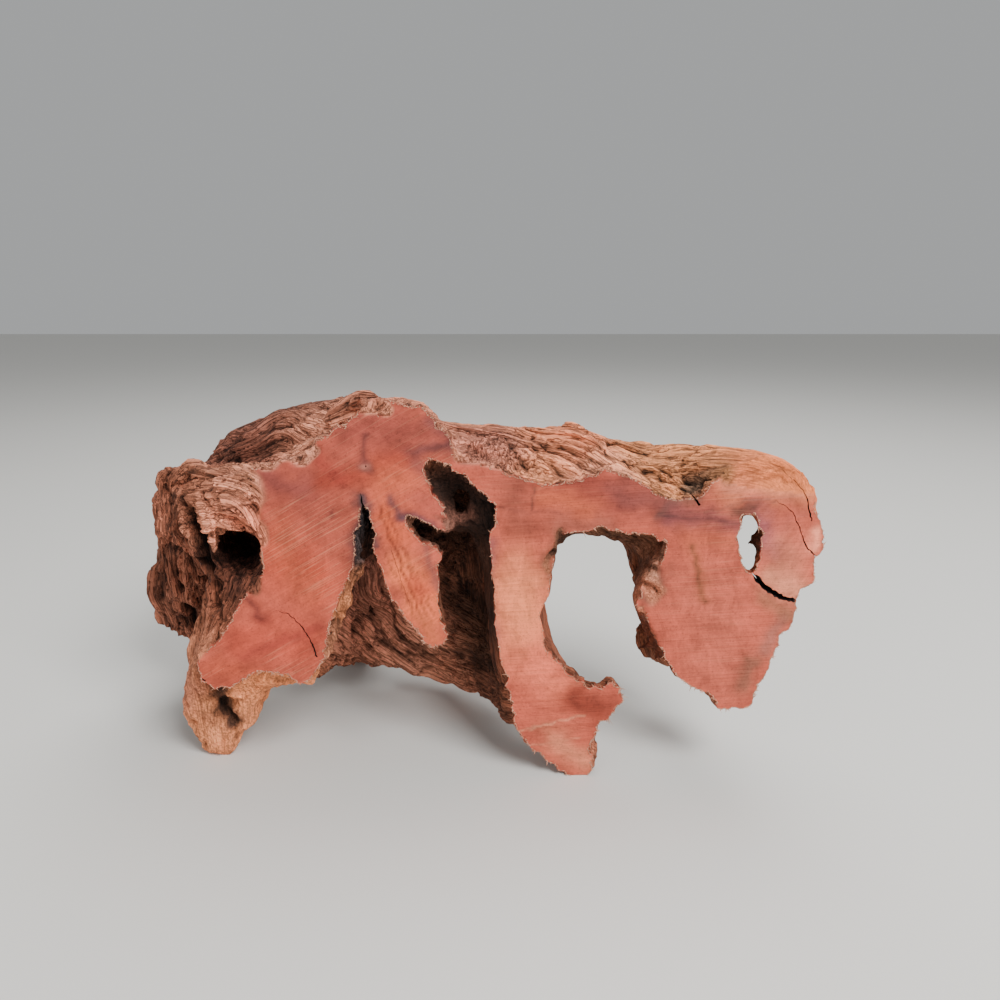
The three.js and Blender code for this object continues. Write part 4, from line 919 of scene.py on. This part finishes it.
def drop_chips(mesh):
    """Removes the loose chips that the cuts leave beside the wood."""
    work = bmesh.new()
    work.from_mesh(mesh)
    left, parts = set(work.verts), []
    while left:
        front = [left.pop()]
        part = []
        while front:
            vert = front.pop()
            part.append(vert)
            for edge in vert.link_edges:
                other = edge.other_vert(vert)
                if other in left:
                    left.remove(other)
                    front.append(other)
        parts.append(part)
    parts.sort(key=len)
    bmesh.ops.delete(work, geom=[vert for part in parts[:-1] for vert in part], context="VERTS")
    work.to_mesh(mesh)
    work.free()


def node(tree, kind, settings=None, **links):
    """Adds a node with its settings and ramp stops, and links its inputs to sockets or sets them to values."""
    made = tree.nodes.new(kind)
    for name, value in (settings or {}).items():
        if name == "stops":
            elements = made.color_ramp.elements
            while len(elements) < len(value):
                elements.new(0.5)
            for element, (place, grey) in zip(elements, value):
                element.position = place
                element.color = (grey, grey, grey, 1)
        else:
            setattr(made, name, value)
    for name, value in links.items():
        key = int(name[1:]) if name[0] == "i" and name[1:].isdigit() else name.replace("_", " ")
        socket = made.inputs[key]
        if isinstance(value, bpy.types.NodeSocket):
            tree.links.new(value, socket)
        else:
            socket.default_value = value
    return made


def new_material(name):
    """An empty material with its shader and output."""
    made = bpy.data.materials.new(name)
    made.use_nodes = True
    tree = made.node_tree
    tree.nodes.clear()
    shader = node(tree, "ShaderNodeBsdfPrincipled")
    node(tree, "ShaderNodeOutputMaterial", Surface=shader.outputs["BSDF"])
    return made, tree, shader


def strand_layer(tree, scale, detail):
    """Strands 0.75 mm wide at scale 1, drawn out along each set of sweep lines and mixed by their shares."""
    strands = 0.0
    for number in range(len(SWEEPS)):
        swept = node(tree, "ShaderNodeAttribute", {"attribute_name": f"sweep{number}"})
        share = node(tree, "ShaderNodeAttribute", {"attribute_name": f"share{number}"})
        grain = node(tree, "ShaderNodeTexNoise", Vector=swept.outputs["Vector"], Scale=scale,
                     Detail=detail, Roughness=0.68)
        part = node(tree, "ShaderNodeMath", {"operation": "MULTIPLY_ADD"}, i0=grain.outputs["Fac"],
                    i1=share.outputs["Fac"], i2=strands)
        strands = part.outputs[0]
    return strands


def sawn_material():
    """Bandsawn red root wood: a dry matt face, figured by growth rings and scored by the blade."""
    made, tree, shader = new_material("bandsawn_red_root_wood")
    shader.inputs["Roughness"].default_value = 0.62
    shader.inputs["IOR"].default_value = 1.5
    shader.inputs["Specular IOR Level"].default_value = 0.25
    tint = node(tree, "ShaderNodeAttribute", {"attribute_name": "tint"})
    ring = node(tree, "ShaderNodeAttribute", {"attribute_name": "ring"})
    worn = node(tree, "ShaderNodeAttribute", {"attribute_name": "worn"}).outputs["Fac"]
    place = node(tree, "ShaderNodeTexCoord").outputs["Object"]
    # Growth rings: bands 1.6 to 3 mm wide that wander with the limb
    wander = node(tree, "ShaderNodeTexNoise", Vector=place, Scale=60.0, Detail=3.0)
    bend = node(tree, "ShaderNodeMath", {"operation": "MULTIPLY_ADD"}, i0=wander.outputs["Fac"], i1=16.0,
                i2=ring.outputs["Fac"])
    along = node(tree, "ShaderNodeCombineXYZ", X=bend.outputs[0])
    rings = node(tree, "ShaderNodeTexNoise", Vector=along.outputs[0], Scale=0.62, Detail=5.0, Roughness=0.7)
    ring_tone = node(tree, "ShaderNodeValToRGB", {"stops": [(0.30, 0.80), (0.5, 1.0), (0.70, 1.13)]},
                     Fac=rings.outputs["Fac"])
    # Mottle of 2 to 10 mm, as resin and stain soak the wood unevenly
    mottle = node(tree, "ShaderNodeTexNoise", Vector=place, Scale=150.0, Detail=7.0, Roughness=0.66)
    mottle_tone = node(tree, "ShaderNodeValToRGB", {"stops": [(0.34, 0.72), (0.5, 1.0), (0.66, 1.22)]},
                       Fac=mottle.outputs["Fac"])
    # Pores: short dark dashes, drawn 0.3 mm wide so that they show
    pores = node(tree, "ShaderNodeTexNoise", Vector=place, Scale=1500.0, Detail=2.0, Roughness=0.6)
    pore_tone = node(tree, "ShaderNodeValToRGB", {"stops": [(0.30, 0.72), (0.42, 0.97), (0.60, 1.0), (0.75, 1.10)]},
                     Fac=pores.outputs["Fac"])
    # Blade lines: on the left they rise at 30 degrees, on the right they lie nearly level
    fine, sparse = [], []
    for angle in (30.0, 4.0):
        spin = node(tree, "ShaderNodeVectorRotate", {"rotation_type": "Y_AXIS"}, Vector=place,
                    Angle=math.radians(angle))
        for found, stretch in ((fine, (14.0, 0.0, 1100.0)), (sparse, (11.0, 0.0, 620.0))):
            drawn = node(tree, "ShaderNodeVectorMath", {"operation": "MULTIPLY"}, i0=spin.outputs[0], i1=stretch)
            lines = node(tree, "ShaderNodeTexNoise", Vector=drawn.outputs[0], Scale=1.0, Detail=2.5, Roughness=0.6)
            found.append(lines.outputs["Fac"])
    side = node(tree, "ShaderNodeSeparateXYZ", Vector=place)
    right = node(tree, "ShaderNodeMapRange", {"interpolation_type": "SMOOTHSTEP"}, Value=side.outputs["X"],
                 From_Min=float(ORIGIN[0]) - 0.018, From_Max=float(ORIGIN[0]) + 0.002).outputs[0]
    both = node(tree, "ShaderNodeMix", {"data_type": "FLOAT"}, Factor=right, A=fine[0], B=fine[1]).outputs[0]
    thin = node(tree, "ShaderNodeMix", {"data_type": "FLOAT"}, Factor=right, A=sparse[0], B=sparse[1]).outputs[0]
    scores = node(tree, "ShaderNodeValToRGB", {"stops": [(0.28, 0.88), (0.44, 0.98), (0.56, 1.01), (0.74, 1.10)]},
                  Fac=both)
    lines = node(tree, "ShaderNodeValToRGB",
                 {"stops": [(0.485, 0.0), (0.496, 1.0), (0.504, 1.0), (0.515, 0.0)]}, Fac=thin)
    patches = node(tree, "ShaderNodeTexNoise", Vector=place, Scale=45.0, Detail=3.0)
    patchy = node(tree, "ShaderNodeValToRGB", {"stops": [(0.42, 0.0), (0.60, 1.0)]}, Fac=patches.outputs["Fac"])
    faint = node(tree, "ShaderNodeMath", {"operation": "MULTIPLY_ADD"}, i0=right, i1=-0.14, i2=0.23)
    pale = node(tree, "ShaderNodeMath", {"operation": "MULTIPLY"}, i0=lines.outputs[0], i1=patchy.outputs[0])
    pale = node(tree, "ShaderNodeMath", {"operation": "MULTIPLY"}, i0=pale.outputs[0], i1=faint.outputs[0])
    strands = strand_layer(tree, 1.0, 4.0)
    strand_tone = node(tree, "ShaderNodeValToRGB", {"stops": [(0.34, 0.55), (0.45, 0.90), (0.55, 1.04), (0.68, 1.30)]},
                       Fac=strands)
    worn_tone = node(tree, "ShaderNodeMix", {"data_type": "RGBA"}, i0=worn, i6=(1.0, 1.0, 1.0, 1.0),
                     i7=strand_tone.outputs[0])
    tone = tint.outputs["Color"]
    for layer in (ring_tone.outputs[0], mottle_tone.outputs[0], scores.outputs[0], pore_tone.outputs[0],
                  worn_tone.outputs[2]):
        tone = node(tree, "ShaderNodeVectorMath", {"operation": "MULTIPLY"}, i0=tone, i1=layer).outputs[0]
    scored = node(tree, "ShaderNodeMix", {"data_type": "RGBA"}, i0=pale.outputs[0], i6=tone,
                  i7=(*pigment("#f6c6ab", 0.75), 1.0))
    height = node(tree, "ShaderNodeMix", {"data_type": "FLOAT"}, Factor=worn, A=both, B=strands).outputs[0]
    bump = node(tree, "ShaderNodeBump", Height=height, Strength=0.5, Distance=0.0006)
    tree.links.new(scored.outputs[2], shader.inputs["Base Color"])
    tree.links.new(bump.outputs[0], shader.inputs["Normal"])
    return made


def weathered_material():
    """Weathered red root wood: dry raised fibres, with painted highlight on their crests and painted shade, brown to
    black, between.
    """
    made, tree, shader = new_material("weathered_red_root_wood")
    shader.inputs["Roughness"].default_value = 0.78
    shader.inputs["IOR"].default_value = 1.5
    shader.inputs["Specular IOR Level"].default_value = 0.2
    tint = node(tree, "ShaderNodeAttribute", {"attribute_name": "tint"})
    relief = node(tree, "ShaderNodeAttribute", {"attribute_name": "relief"})
    crumble = node(tree, "ShaderNodeAttribute", {"attribute_name": "crumble"}).outputs["Fac"]
    opened = node(tree, "ShaderNodeAttribute", {"attribute_name": "opened"}).outputs["Fac"]
    place = node(tree, "ShaderNodeTexCoord").outputs["Object"]
    strands = strand_layer(tree, 1.0, 4.0)
    # Seams: thin dark lines between bundles of fibres, 1 to 2 mm apart
    seams = strand_layer(tree, 0.55, 1.5)
    seam_tone = node(tree, "ShaderNodeValToRGB",
                     {"stops": [(0.430, 1.24), (0.482, 0.42), (0.503, 0.42), (0.550, 1.24)]}, Fac=seams)
    seam_tone = node(tree, "ShaderNodeMix", {"data_type": "RGBA"}, i0=opened, i6=(1.0, 1.0, 1.0, 1.0),
                     i7=seam_tone.outputs[0])
    strand_tone = node(tree, "ShaderNodeValToRGB",
                       {"stops": [(0.32, 0.26), (0.42, 0.72), (0.50, 1.0), (0.60, 1.16), (0.70, 1.5)]}, Fac=strands)
    strand_tone = node(tree, "ShaderNodeMix", {"data_type": "RGBA"}, i0=opened, i6=(1.0, 1.0, 1.0, 1.0),
                       i7=strand_tone.outputs[0])
    # Painted shade in the grooves, near black at their bottom, and painted highlight on the crests, set by the relief
    relief_shade_and_highlight = node(tree, "ShaderNodeValToRGB",
                      {"stops": [(0.0, 0.10), (0.30, 0.42), (0.55, 0.88), (0.85, 1.25), (1.0, 1.45)]},
                      Fac=relief.outputs["Fac"])
    # Grit of 0.4 to 0.9 mm, strongest where the wood is crumbly
    grit = node(tree, "ShaderNodeTexNoise", Vector=place, Scale=1150.0, Detail=3.0, Roughness=0.7)
    faint = node(tree, "ShaderNodeValToRGB", {"stops": [(0.3, 0.78), (0.5, 1.0), (0.7, 1.22)]},
                 Fac=grit.outputs["Fac"])
    strong = node(tree, "ShaderNodeValToRGB", {"stops": [(0.34, 0.34), (0.45, 0.80), (0.55, 1.10), (0.66, 1.6)]},
                  Fac=grit.outputs["Fac"])
    grit_tone = node(tree, "ShaderNodeMix", {"data_type": "RGBA"}, i0=crumble, i6=faint.outputs[0],
                     i7=strong.outputs[0])
    blotch = node(tree, "ShaderNodeTexNoise", Vector=place, Scale=110.0, Detail=4.0, Roughness=0.6)
    blotch_tone = node(tree, "ShaderNodeValToRGB", {"stops": [(0.3, 0.76), (0.5, 1.0), (0.72, 1.2)]},
                       Fac=blotch.outputs["Fac"])
    tone = tint.outputs["Color"]
    for layer in (strand_tone.outputs[2], seam_tone.outputs[2], relief_shade_and_highlight.outputs[0], grit_tone.outputs[2],
                  blotch_tone.outputs[0]):
        tone = node(tree, "ShaderNodeVectorMath", {"operation": "MULTIPLY"}, i0=tone, i1=layer).outputs[0]
    seamed = node(tree, "ShaderNodeMath", {"operation": "MULTIPLY_ADD"}, i0=seam_tone.outputs[2], i1=0.22, i2=strands)
    raised = node(tree, "ShaderNodeMath", {"operation": "MULTIPLY"}, i0=seamed.outputs[0], i1=opened)
    grains = node(tree, "ShaderNodeMath", {"operation": "MULTIPLY"}, i0=grit.outputs["Fac"], i1=0.7)
    height = node(tree, "ShaderNodeMix", {"data_type": "FLOAT"}, Factor=crumble, A=raised.outputs[0],
                  B=grains.outputs[0])
    bump = node(tree, "ShaderNodeBump", Height=height.outputs[0], Strength=1.0, Distance=0.0022)
    tree.links.new(tone, shader.inputs["Base Color"])
    tree.links.new(bump.outputs[0], shader.inputs["Normal"])
    return made


def crack_shade_material(colours):
    """Painted shade inside the cracks: one flat dark colour that stands for the shade in a drying crack and draws the
    crack as a black line.
    """
    made, tree, shader = new_material("crack_painted_shade")
    shader.inputs["Roughness"].default_value = 0.85
    shader.inputs["Base Color"].default_value = (*colours.crack_shade, 1)
    return made


def fibre_material(colours):
    """Torn wood fibre: the pale raised ends that the blade left standing, lighter than the face."""
    made, tree, shader = new_material("torn_wood_fibre")
    shader.inputs["Roughness"].default_value = 0.7
    place = node(tree, "ShaderNodeTexCoord").outputs["Object"]
    noise = node(tree, "ShaderNodeTexNoise", Vector=place, Scale=260.0, Detail=3.0)
    mix = node(tree, "ShaderNodeMix", {"data_type": "RGBA"}, i0=noise.outputs["Fac"],
               i6=(*colours.torn_fibre_dark, 1), i7=(*colours.torn_fibre_pale, 1))
    tree.links.new(mix.outputs[2], shader.inputs["Base Color"])
    return made


class DriftwoodSizes(bpy.types.PropertyGroup):
    """Sizes of the wood's finish."""
    mesh_step: bpy.props.FloatProperty(
        name="Mesh step", description="Edge length of the mesh that carries the fibres", default=0.0007,
        min=0.0005, max=0.003, unit="LENGTH")
    fibre_depth: bpy.props.FloatProperty(
        name="Fibre depth", description="Height of the raised fibres", default=0.0007, min=0.0, max=0.003,
        unit="LENGTH")
    crumb_depth: bpy.props.FloatProperty(
        name="Crumb depth", description="Height of the crumbly grain", default=0.00017, min=0.0, max=0.002,
        unit="LENGTH")
    face_step: bpy.props.FloatProperty(
        name="Face step", description="Edge length of the mesh on the sawn face", default=0.0007, min=0.0005,
        max=0.003, unit="LENGTH")
    fibre_length: bpy.props.FloatProperty(
        name="Torn fibre length", description="Mean length of the torn fibres", default=0.0006, min=0.0002,
        max=0.005, unit="LENGTH")


class DriftwoodColours(bpy.types.PropertyGroup):
    """Colours of the wood and the stage."""
    sawn_wood: bpy.props.FloatVectorProperty(
        name="Sawn wood", description="Colour of the sawn face, which its stains shift with", subtype="COLOR",
        size=3, min=0, max=1, default=linear(FACE_BASE))
    weathered_wood: bpy.props.FloatVectorProperty(
        name="Weathered wood", description="Colour of the weathered wood, which its tones shift with",
        subtype="COLOR", size=3, min=0, max=1, default=linear(WEATHERED_BASE))
    crack_shade: bpy.props.FloatVectorProperty(
        name="Crack shade", description="Colour inside the cracks", subtype="COLOR", size=3, min=0, max=1,
        default=linear("#2c1712"))
    torn_fibre_dark: bpy.props.FloatVectorProperty(
        name="Torn fibre, dark", description="Darker colour of the torn fibres", subtype="COLOR", size=3,
        min=0, max=1, default=linear("#8f5640"))
    torn_fibre_pale: bpy.props.FloatVectorProperty(
        name="Torn fibre, pale", description="Paler colour of the torn fibres", subtype="COLOR", size=3,
        min=0, max=1, default=linear("#e3ab8c"))
    floor: bpy.props.FloatVectorProperty(
        name="Floor", description="Colour of the plain floor", subtype="COLOR", size=3, min=0, max=1,
        default=linear("#d9d7d2"))
    backdrop: bpy.props.FloatVectorProperty(
        name="Backdrop", description="Colour of the light all round", subtype="COLOR", size=3, min=0, max=1,
        default=linear("#dfe1e2"))


def needles(name, starts, ways, lengths, widths, seed):
    """Thin curved closed needles, each with three sides."""
    random = np.random.default_rng(seed)
    points, faces = [], []
    for start, way, length, width in zip(starts, ways, lengths, widths):
        side = np.cross(way, random.standard_normal(3))
        side /= max(np.linalg.norm(side), 1e-9)
        other = np.cross(way, side)
        curl = (side * random.normal() + other * random.normal()) * 0.22 * length
        first = len(points)
        for level, share in ((0.0, 1.0), (0.5, 0.75)):
            centre = start + way * length * level + curl * level ** 2
            for k in range(3):
                turn = k * 2 * math.pi / 3
                points.append(centre + (side * math.cos(turn) + other * math.sin(turn)) * width * share)
        points.append(start + way * length + curl)
        a = first
        faces += [(a + 2, a + 1, a)]
        for k in range(3):
            n = (k + 1) % 3
            faces += [(a + k, a + n, a + 3 + n, a + 3 + k), (a + 3 + k, a + 3 + n, a + 6)]
    thing = new_object(name, points, faces)
    tidy_normals(thing.data)
    return thing


class ShapeRoot(bpy.types.Operator):
    """Builds the root wood: weathered relief, saw cut, cracks and tones"""
    bl_idname = "driftwood.shape_root"
    bl_label = "Shape the root"

    def execute(self, context):
        """Builds the wood round the solid and puts it in the solid's place."""
        sizes = context.scene.driftwood_sizes
        step = sizes.mesh_step / MM * 1.0
        thing = blank_root(step)
        mesh = thing.data
        smooth_facets(mesh, 14)
        points, normals = coordinates(mesh), vertex_normals(mesh)
        layers, grain = fibre_layers(points, normals, step)
        broad, middle, fine, finest = layers
        channels = channels_of(points + wander_of(points))
        wide, narrow, thin = (streaks(channels, size, length, 33 + length)
                              for size, length in ((3.4, 48), (1.8, 36), (1.1, 24)))
        wear = places(points, WEAR, 0.8)
        crumble = places(points, CRUMBLE, 0.0)
        grooves = np.exp(-(streaks(channels, 2.8, 50, 84) / 0.13) ** 2)
        splits = np.exp(-(streaks(channels, 1.5, 34, 85) / 0.17) ** 2)
        hollows = np.exp(-(middle / 0.25) ** 2)
        cleft_depth, black = clefts_of(points)
        fibres = (0.18 * broad + 0.10 * middle + 0.08 * fine + 0.40 * wide + 0.55 * np.abs(narrow) - 0.38
                  + 0.30 * thin - 0.95 * grooves - 0.8 * splits - 0.2 * hollows)
        crumbs = 0.5 * lattice(points, 3.2, 20) + 0.9 * lattice(points, 1.6, 21) + 0.8 * lattice(points, 1.0, 22)
        near_cut = smoothstep(0.5, 3.0, points[:, 1])
        height = (fibres * wear * (1 - 0.75 * crumble) * sizes.fibre_depth / MM
                  + crumbs * crumble * sizes.crumb_depth / MM)
        height = np.clip(height, -2.6, 1.6) * (0.22 + 0.78 * near_cut) - cleft_depth
        upright = points * (1, 0.25, 1)
        jags = 0.22 * lattice(upright, 2.4, 23) + 0.20 * lattice(upright, 1.2, 24)
        height += jags * (1 - smoothstep(2.0, 6.0, points[:, 1])) * places(points, FRAYS, 1.0)
        height *= smoothstep(-1.0, 3.0, points[:, 2]) * 0.8 + 0.2
        set_coordinates(mesh, points + normals * height[:, None])
        # The relief, low in grooves and splits and high on the crests, carries the painted shade and highlight of the
        # weathered material
        relief = np.clip(0.62 + 0.20 * (0.25 * broad + 0.15 * middle + 0.45 * wide + 0.6 * np.abs(narrow) - 0.4
                                        + 0.45 * thin - 1.9 * grooves - 1.4 * splits), 0, 1)
        relief = 0.66 + (relief - 0.66) * np.clip(wear * 1.4, 0.15, 1)
        relief = relief * (1 - crumble) + crumble * np.clip(0.62 + 0.10 * crumbs, 0, 1)
        carved = points + normals * height[:, None]
        wanted = 142000
        now = sum(len(p.vertices) - 2 for p in mesh.polygons)
        change = thing.modifiers.new("spare the mesh", "DECIMATE")
        change.ratio = min(1.0, wanted / now)
        mesh = applied(thing)
        mesh.materials.clear()
        mesh.materials.append(weathered_material())
        face_step = sizes.face_step / MM * 1
        block = saw_block(face_step)
        block.data.materials.append(sawn_material())
        cut(thing, block)
        # The crack wedges' cut faces take this flat dark colour, painted shade inside each crack
        inside = crack_shade_material(context.scene.driftwood_colours)
        for number, (name, (line, first, last, depth)) in enumerate(CRACKS.items()):
            wedge = crack_wedge(name, line, first, last, depth, 60 + number)
            wedge.data.materials.append(inside)
            cut(thing, wedge)
        mesh = thing.data
        drop_chips(mesh)
        final = coordinates(mesh)
        nearest = Nearest(carved, step).of(final)
        nearest = np.where(nearest >= 0, nearest, 0)
        kinds = np.empty(len(mesh.polygons), np.int32)
        mesh.polygons.foreach_get("material_index", kinds)
        sawn_kind = [m.name for m in mesh.materials].index("bandsawn_red_root_wood")
        on_face = np.zeros(len(final), bool)
        corners = np.empty(len(mesh.loops), np.int32)
        mesh.loops.foreach_get("vertex_index", corners)
        sizes_of = np.empty(len(mesh.polygons), np.int32)
        mesh.polygons.foreach_get("loop_total", sizes_of)
        on_face[corners[np.repeat(kinds == sawn_kind, sizes_of)]] = True
        flat = final * (1, 0, 1)
        worn = np.where(on_face, worn_of(flat, 0)[1], 0)
        strayed = final + np.stack([lattice(final, 7, 51 + k) for k in range(3)], 1) * 1.2
        colours = context.scene.driftwood_colours
        # The tones include painted shade in the eye socket, the cave and under the arm
        tones = blend_colours(strayed, WEATHERED_TONES_AND_SHADE, WEATHERED_BASE)
        tones *= np.array(colours.weathered_wood) / linear(WEATHERED_BASE)
        sawn_tones = face_colours(final) * np.array(colours.sawn_wood) / linear(FACE_BASE)
        bare = (on_face * (1 - smoothstep(0.05, 0.8, worn)))[:, None]
        # The clefts darken the tones with painted shade, on the weathered wood and on the worn parts of the face
        black = black[nearest] * (1 - bare[:, 0])
        black[worn > 0] = clefts_of(flat[worn > 0], True)[1] * smoothstep(0.1, 0.6, worn[worn > 0])
        tones = (sawn_tones * bare + tones * (1 - bare)) * (1 - 0.93 * black)[:, None]
        wear, crumble = places(final, WEAR, 0.8), places(final, CRUMBLE, 0.0)
        relief = relief[nearest]
        relief[worn > 0] = np.clip(0.64 + 0.24 * folds_of(flat[worn > 0]) * np.clip(wear[worn > 0], 0, 1), 0, 1)
        opened = np.clip(wear * (1 - crumble), 0.06, 1)
        opened[worn > 0] *= smoothstep(0.3, 0.9, worn[worn > 0])
        relief[worn > 0] = 0.64 + (relief[worn > 0] - 0.64) * smoothstep(0.2, 0.8, worn[worn > 0])
        values = {"worn": worn, "crumble": crumble, "relief": relief, "ring": ring_distance(final),
                  "opened": opened}
        vectors = {}
        for number, (place, share) in enumerate(zip(*channels_of(final + wander_of(final)))):
            vectors[f"sweep{number}"] = place / np.array((0.75, 0.75, 20.0))
            values[f"share{number}"] = share
        colour = np.concatenate([tones, np.ones((len(final), 1))], 1)
        mesh.attributes.new("tint", "FLOAT_COLOR", "POINT").data.foreach_set("color", colour.astype(np.float32).ravel())
        for name, value in values.items():
            mesh.attributes.new(name, "FLOAT", "POINT").data.foreach_set("value", value.astype(np.float32))
        for name, value in vectors.items():
            mesh.attributes.new(name, "FLOAT_VECTOR", "POINT").data.foreach_set(
                "vector", value.astype(np.float32).ravel())
        firsts = np.concatenate([[0], np.cumsum(sizes_of)[:-1]])
        mean_worn = np.add.reduceat(worn[corners], firsts) / sizes_of
        kinds[(kinds == sawn_kind) & (mean_worn > 0.5)] = [m.name for m in mesh.materials].index("weathered_red_root_wood")
        mesh.polygons.foreach_set("material_index", kinds)
        set_coordinates(mesh, final * MM + ORIGIN)
        mesh.polygons.foreach_set("use_smooth", np.ones(len(mesh.polygons), bool))
        mesh.set_sharp_from_angle(angle=math.radians(50))
        mesh.update()
        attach(thing, "root")
        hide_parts("driftwood")
        return {"FINISHED"}


class TearFibres(bpy.types.Operator):
    """Adds the torn fibres that stand along the saw cut's edge"""
    bl_idname = "driftwood.tear_fibres"
    bl_label = "Tear the edge fibres"

    def execute(self, context):
        """Plants small needles along the edge between the sawn and the weathered wood."""
        wood = bpy.data.objects["driftwood_root"]
        mesh = wood.data
        sizes = context.scene.driftwood_sizes
        names = [m.name for m in mesh.materials]
        kinds = np.empty(len(mesh.polygons), np.int32)
        mesh.polygons.foreach_get("material_index", kinds)
        sawn = kinds == names.index("bandsawn_red_root_wood")
        owner = {}
        for polygon in mesh.polygons:
            for key in polygon.edge_keys:
                owner.setdefault(key, []).append(polygon.index)
        # Faces inside the cracks, which carry the painted shade
        split = kinds == names.index("crack_painted_shade")
        worn = np.empty(len(mesh.vertices), np.float32)
        mesh.attributes["worn"].data.foreach_get("value", worn)
        edges = [k for k, v in owner.items()
                 if len(v) == 2 and sawn[v[0]] != sawn[v[1]] and not (split[v[0]] or split[v[1]])
                 and max(worn[k[0]], worn[k[1]]) < 0.3]
        points = coordinates(mesh)
        random = np.random.default_rng(7)
        picked = random.permutation(len(edges))[:int(len(edges) * 0.9)]
        starts, ways = [], []
        for number in picked:
            a, b = edges[number]
            middle = (points[a] + points[b]) / 2
            along = unit(points[b] - points[a])
            face = owner[edges[number]]
            inner = mesh.polygons[face[0] if sawn[face[0]] else face[1]].center
            out = middle - np.array(inner)
            out -= along * (out @ along)
            out = unit(out)
            lean = np.array((0, random.uniform(-0.5, 0.3), 0))
            way = unit(out * random.uniform(0.1, 0.8) + along * random.normal() * 1.2 + lean)
            starts.append(middle - out * 0.0003)
            ways.append(way)
        count = len(starts)
        lengths = random.gamma(3.0, sizes.fibre_length / 3, count)
        lengths *= places((np.array(starts) - ORIGIN) / MM, FRAYS, 1.0)
        widths = random.uniform(0.00010, 0.00022, count)
        edge = needles("torn_edge_fibres", np.array(starts), np.array(ways), lengths, widths, 8)
        edge.data.materials.append(fibre_material(context.scene.driftwood_colours))
        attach(edge, "root")
        return {"FINISHED"}


class SetStage(bpy.types.Operator):
    """Sets the floor, the light and the camera"""
    bl_idname = "driftwood.set_stage"
    bl_label = "Set the stage"

    def execute(self, context):
        """Builds the stage round the wood."""
        colours = context.scene.driftwood_colours
        floor = new_object("floor", [(-3, -3, 0), (3, -3, 0), (3, 3, 0), (-3, 3, 0)], [(0, 1, 2, 3)])
        paint, tree, shader = new_material("matt_painted_board")
        shader.inputs["Base Color"].default_value = (*colours.floor, 1)
        shader.inputs["Roughness"].default_value = 0.85
        floor.data.materials.append(paint)
        world = bpy.data.worlds.new("even_light")
        world.use_nodes = True
        world.node_tree.nodes["Background"].inputs["Color"].default_value = (*colours.backdrop, 1)
        world.node_tree.nodes["Background"].inputs["Strength"].default_value = 0.55
        context.scene.world = world
        for name, place, size, power in (("key", (0.42, -0.55, 0.70), 0.40, 11.0), ("fill", (-0.7, -0.6, 0.35), 0.6, 1.6),
                                         ("top", (0.1, 0.35, 0.9), 0.6, 5.0)):
            data = bpy.data.lights.new(name, "AREA")
            data.energy = power
            data.size = size
            lamp = bpy.data.objects.new(name, data)
            context.scene.collection.objects.link(lamp)
            lamp.location = place
            lamp.rotation_euler = (Vector((0, 0, 0.05)) - Vector(place)).to_track_quat("-Z", "Y").to_euler()
        data = bpy.data.cameras.new("camera")
        data.lens = LENS
        data.sensor_width = 36.0
        camera = bpy.data.objects.new("camera", data)
        camera.location = (float(ORIGIN[0]), float(ORIGIN[1]) - CAMERA_AWAY * MM, CAMERA_HEIGHT * MM)
        camera.rotation_euler = (math.radians(90 - CAMERA_PITCH), 0, 0)
        context.scene.collection.objects.link(camera)
        context.scene.camera = camera
        return {"FINISHED"}


LENS = 27.036               # millimetres on a 36 mm sensor
CAMERA_AWAY = 205.0         # in front of the saw cut
CAMERA_HEIGHT = 144.14
CAMERA_PITCH = 15.0         # degrees down


class DriftwoodPanel(bpy.types.Panel):
    """Lists the steps that build the driftwood"""
    bl_idname = "VIEW3D_PT_driftwood"
    bl_label = "Driftwood"
    bl_space_type = "VIEW_3D"
    bl_region_type = "UI"
    bl_category = "Driftwood"

    def draw(self, context):
        """Draws the values and the steps."""
        for group in (context.scene.driftwood_sizes, context.scene.driftwood_colours):
            for name in group.__annotations__:
                self.layout.prop(group, name)
        for step in STEPS:
            self.layout.operator(step.bl_idname)


STEPS = (ShapeRoot, TearFibres, SetStage)
CLASSES = (DriftwoodSizes, DriftwoodColours, *STEPS, DriftwoodPanel)


def register():
    """Adds the classes and the scene's own values."""
    for item in CLASSES:
        bpy.utils.register_class(item)
    bpy.types.Scene.driftwood_sizes = bpy.props.PointerProperty(type=DriftwoodSizes)
    bpy.types.Scene.driftwood_colours = bpy.props.PointerProperty(type=DriftwoodColours)


def unregister():
    """Takes them away again."""
    del bpy.types.Scene.driftwood_colours
    del bpy.types.Scene.driftwood_sizes
    for item in reversed(CLASSES):
        bpy.utils.unregister_class(item)


def main():
    """Builds the driftwood and its stage."""
    register()
    bpy.ops.driftwood.shape_root()
    bpy.ops.driftwood.tear_fibres()
    bpy.ops.driftwood.set_stage()
    bpy.context.view_layer.update()


if __name__ == "__main__":
    main()
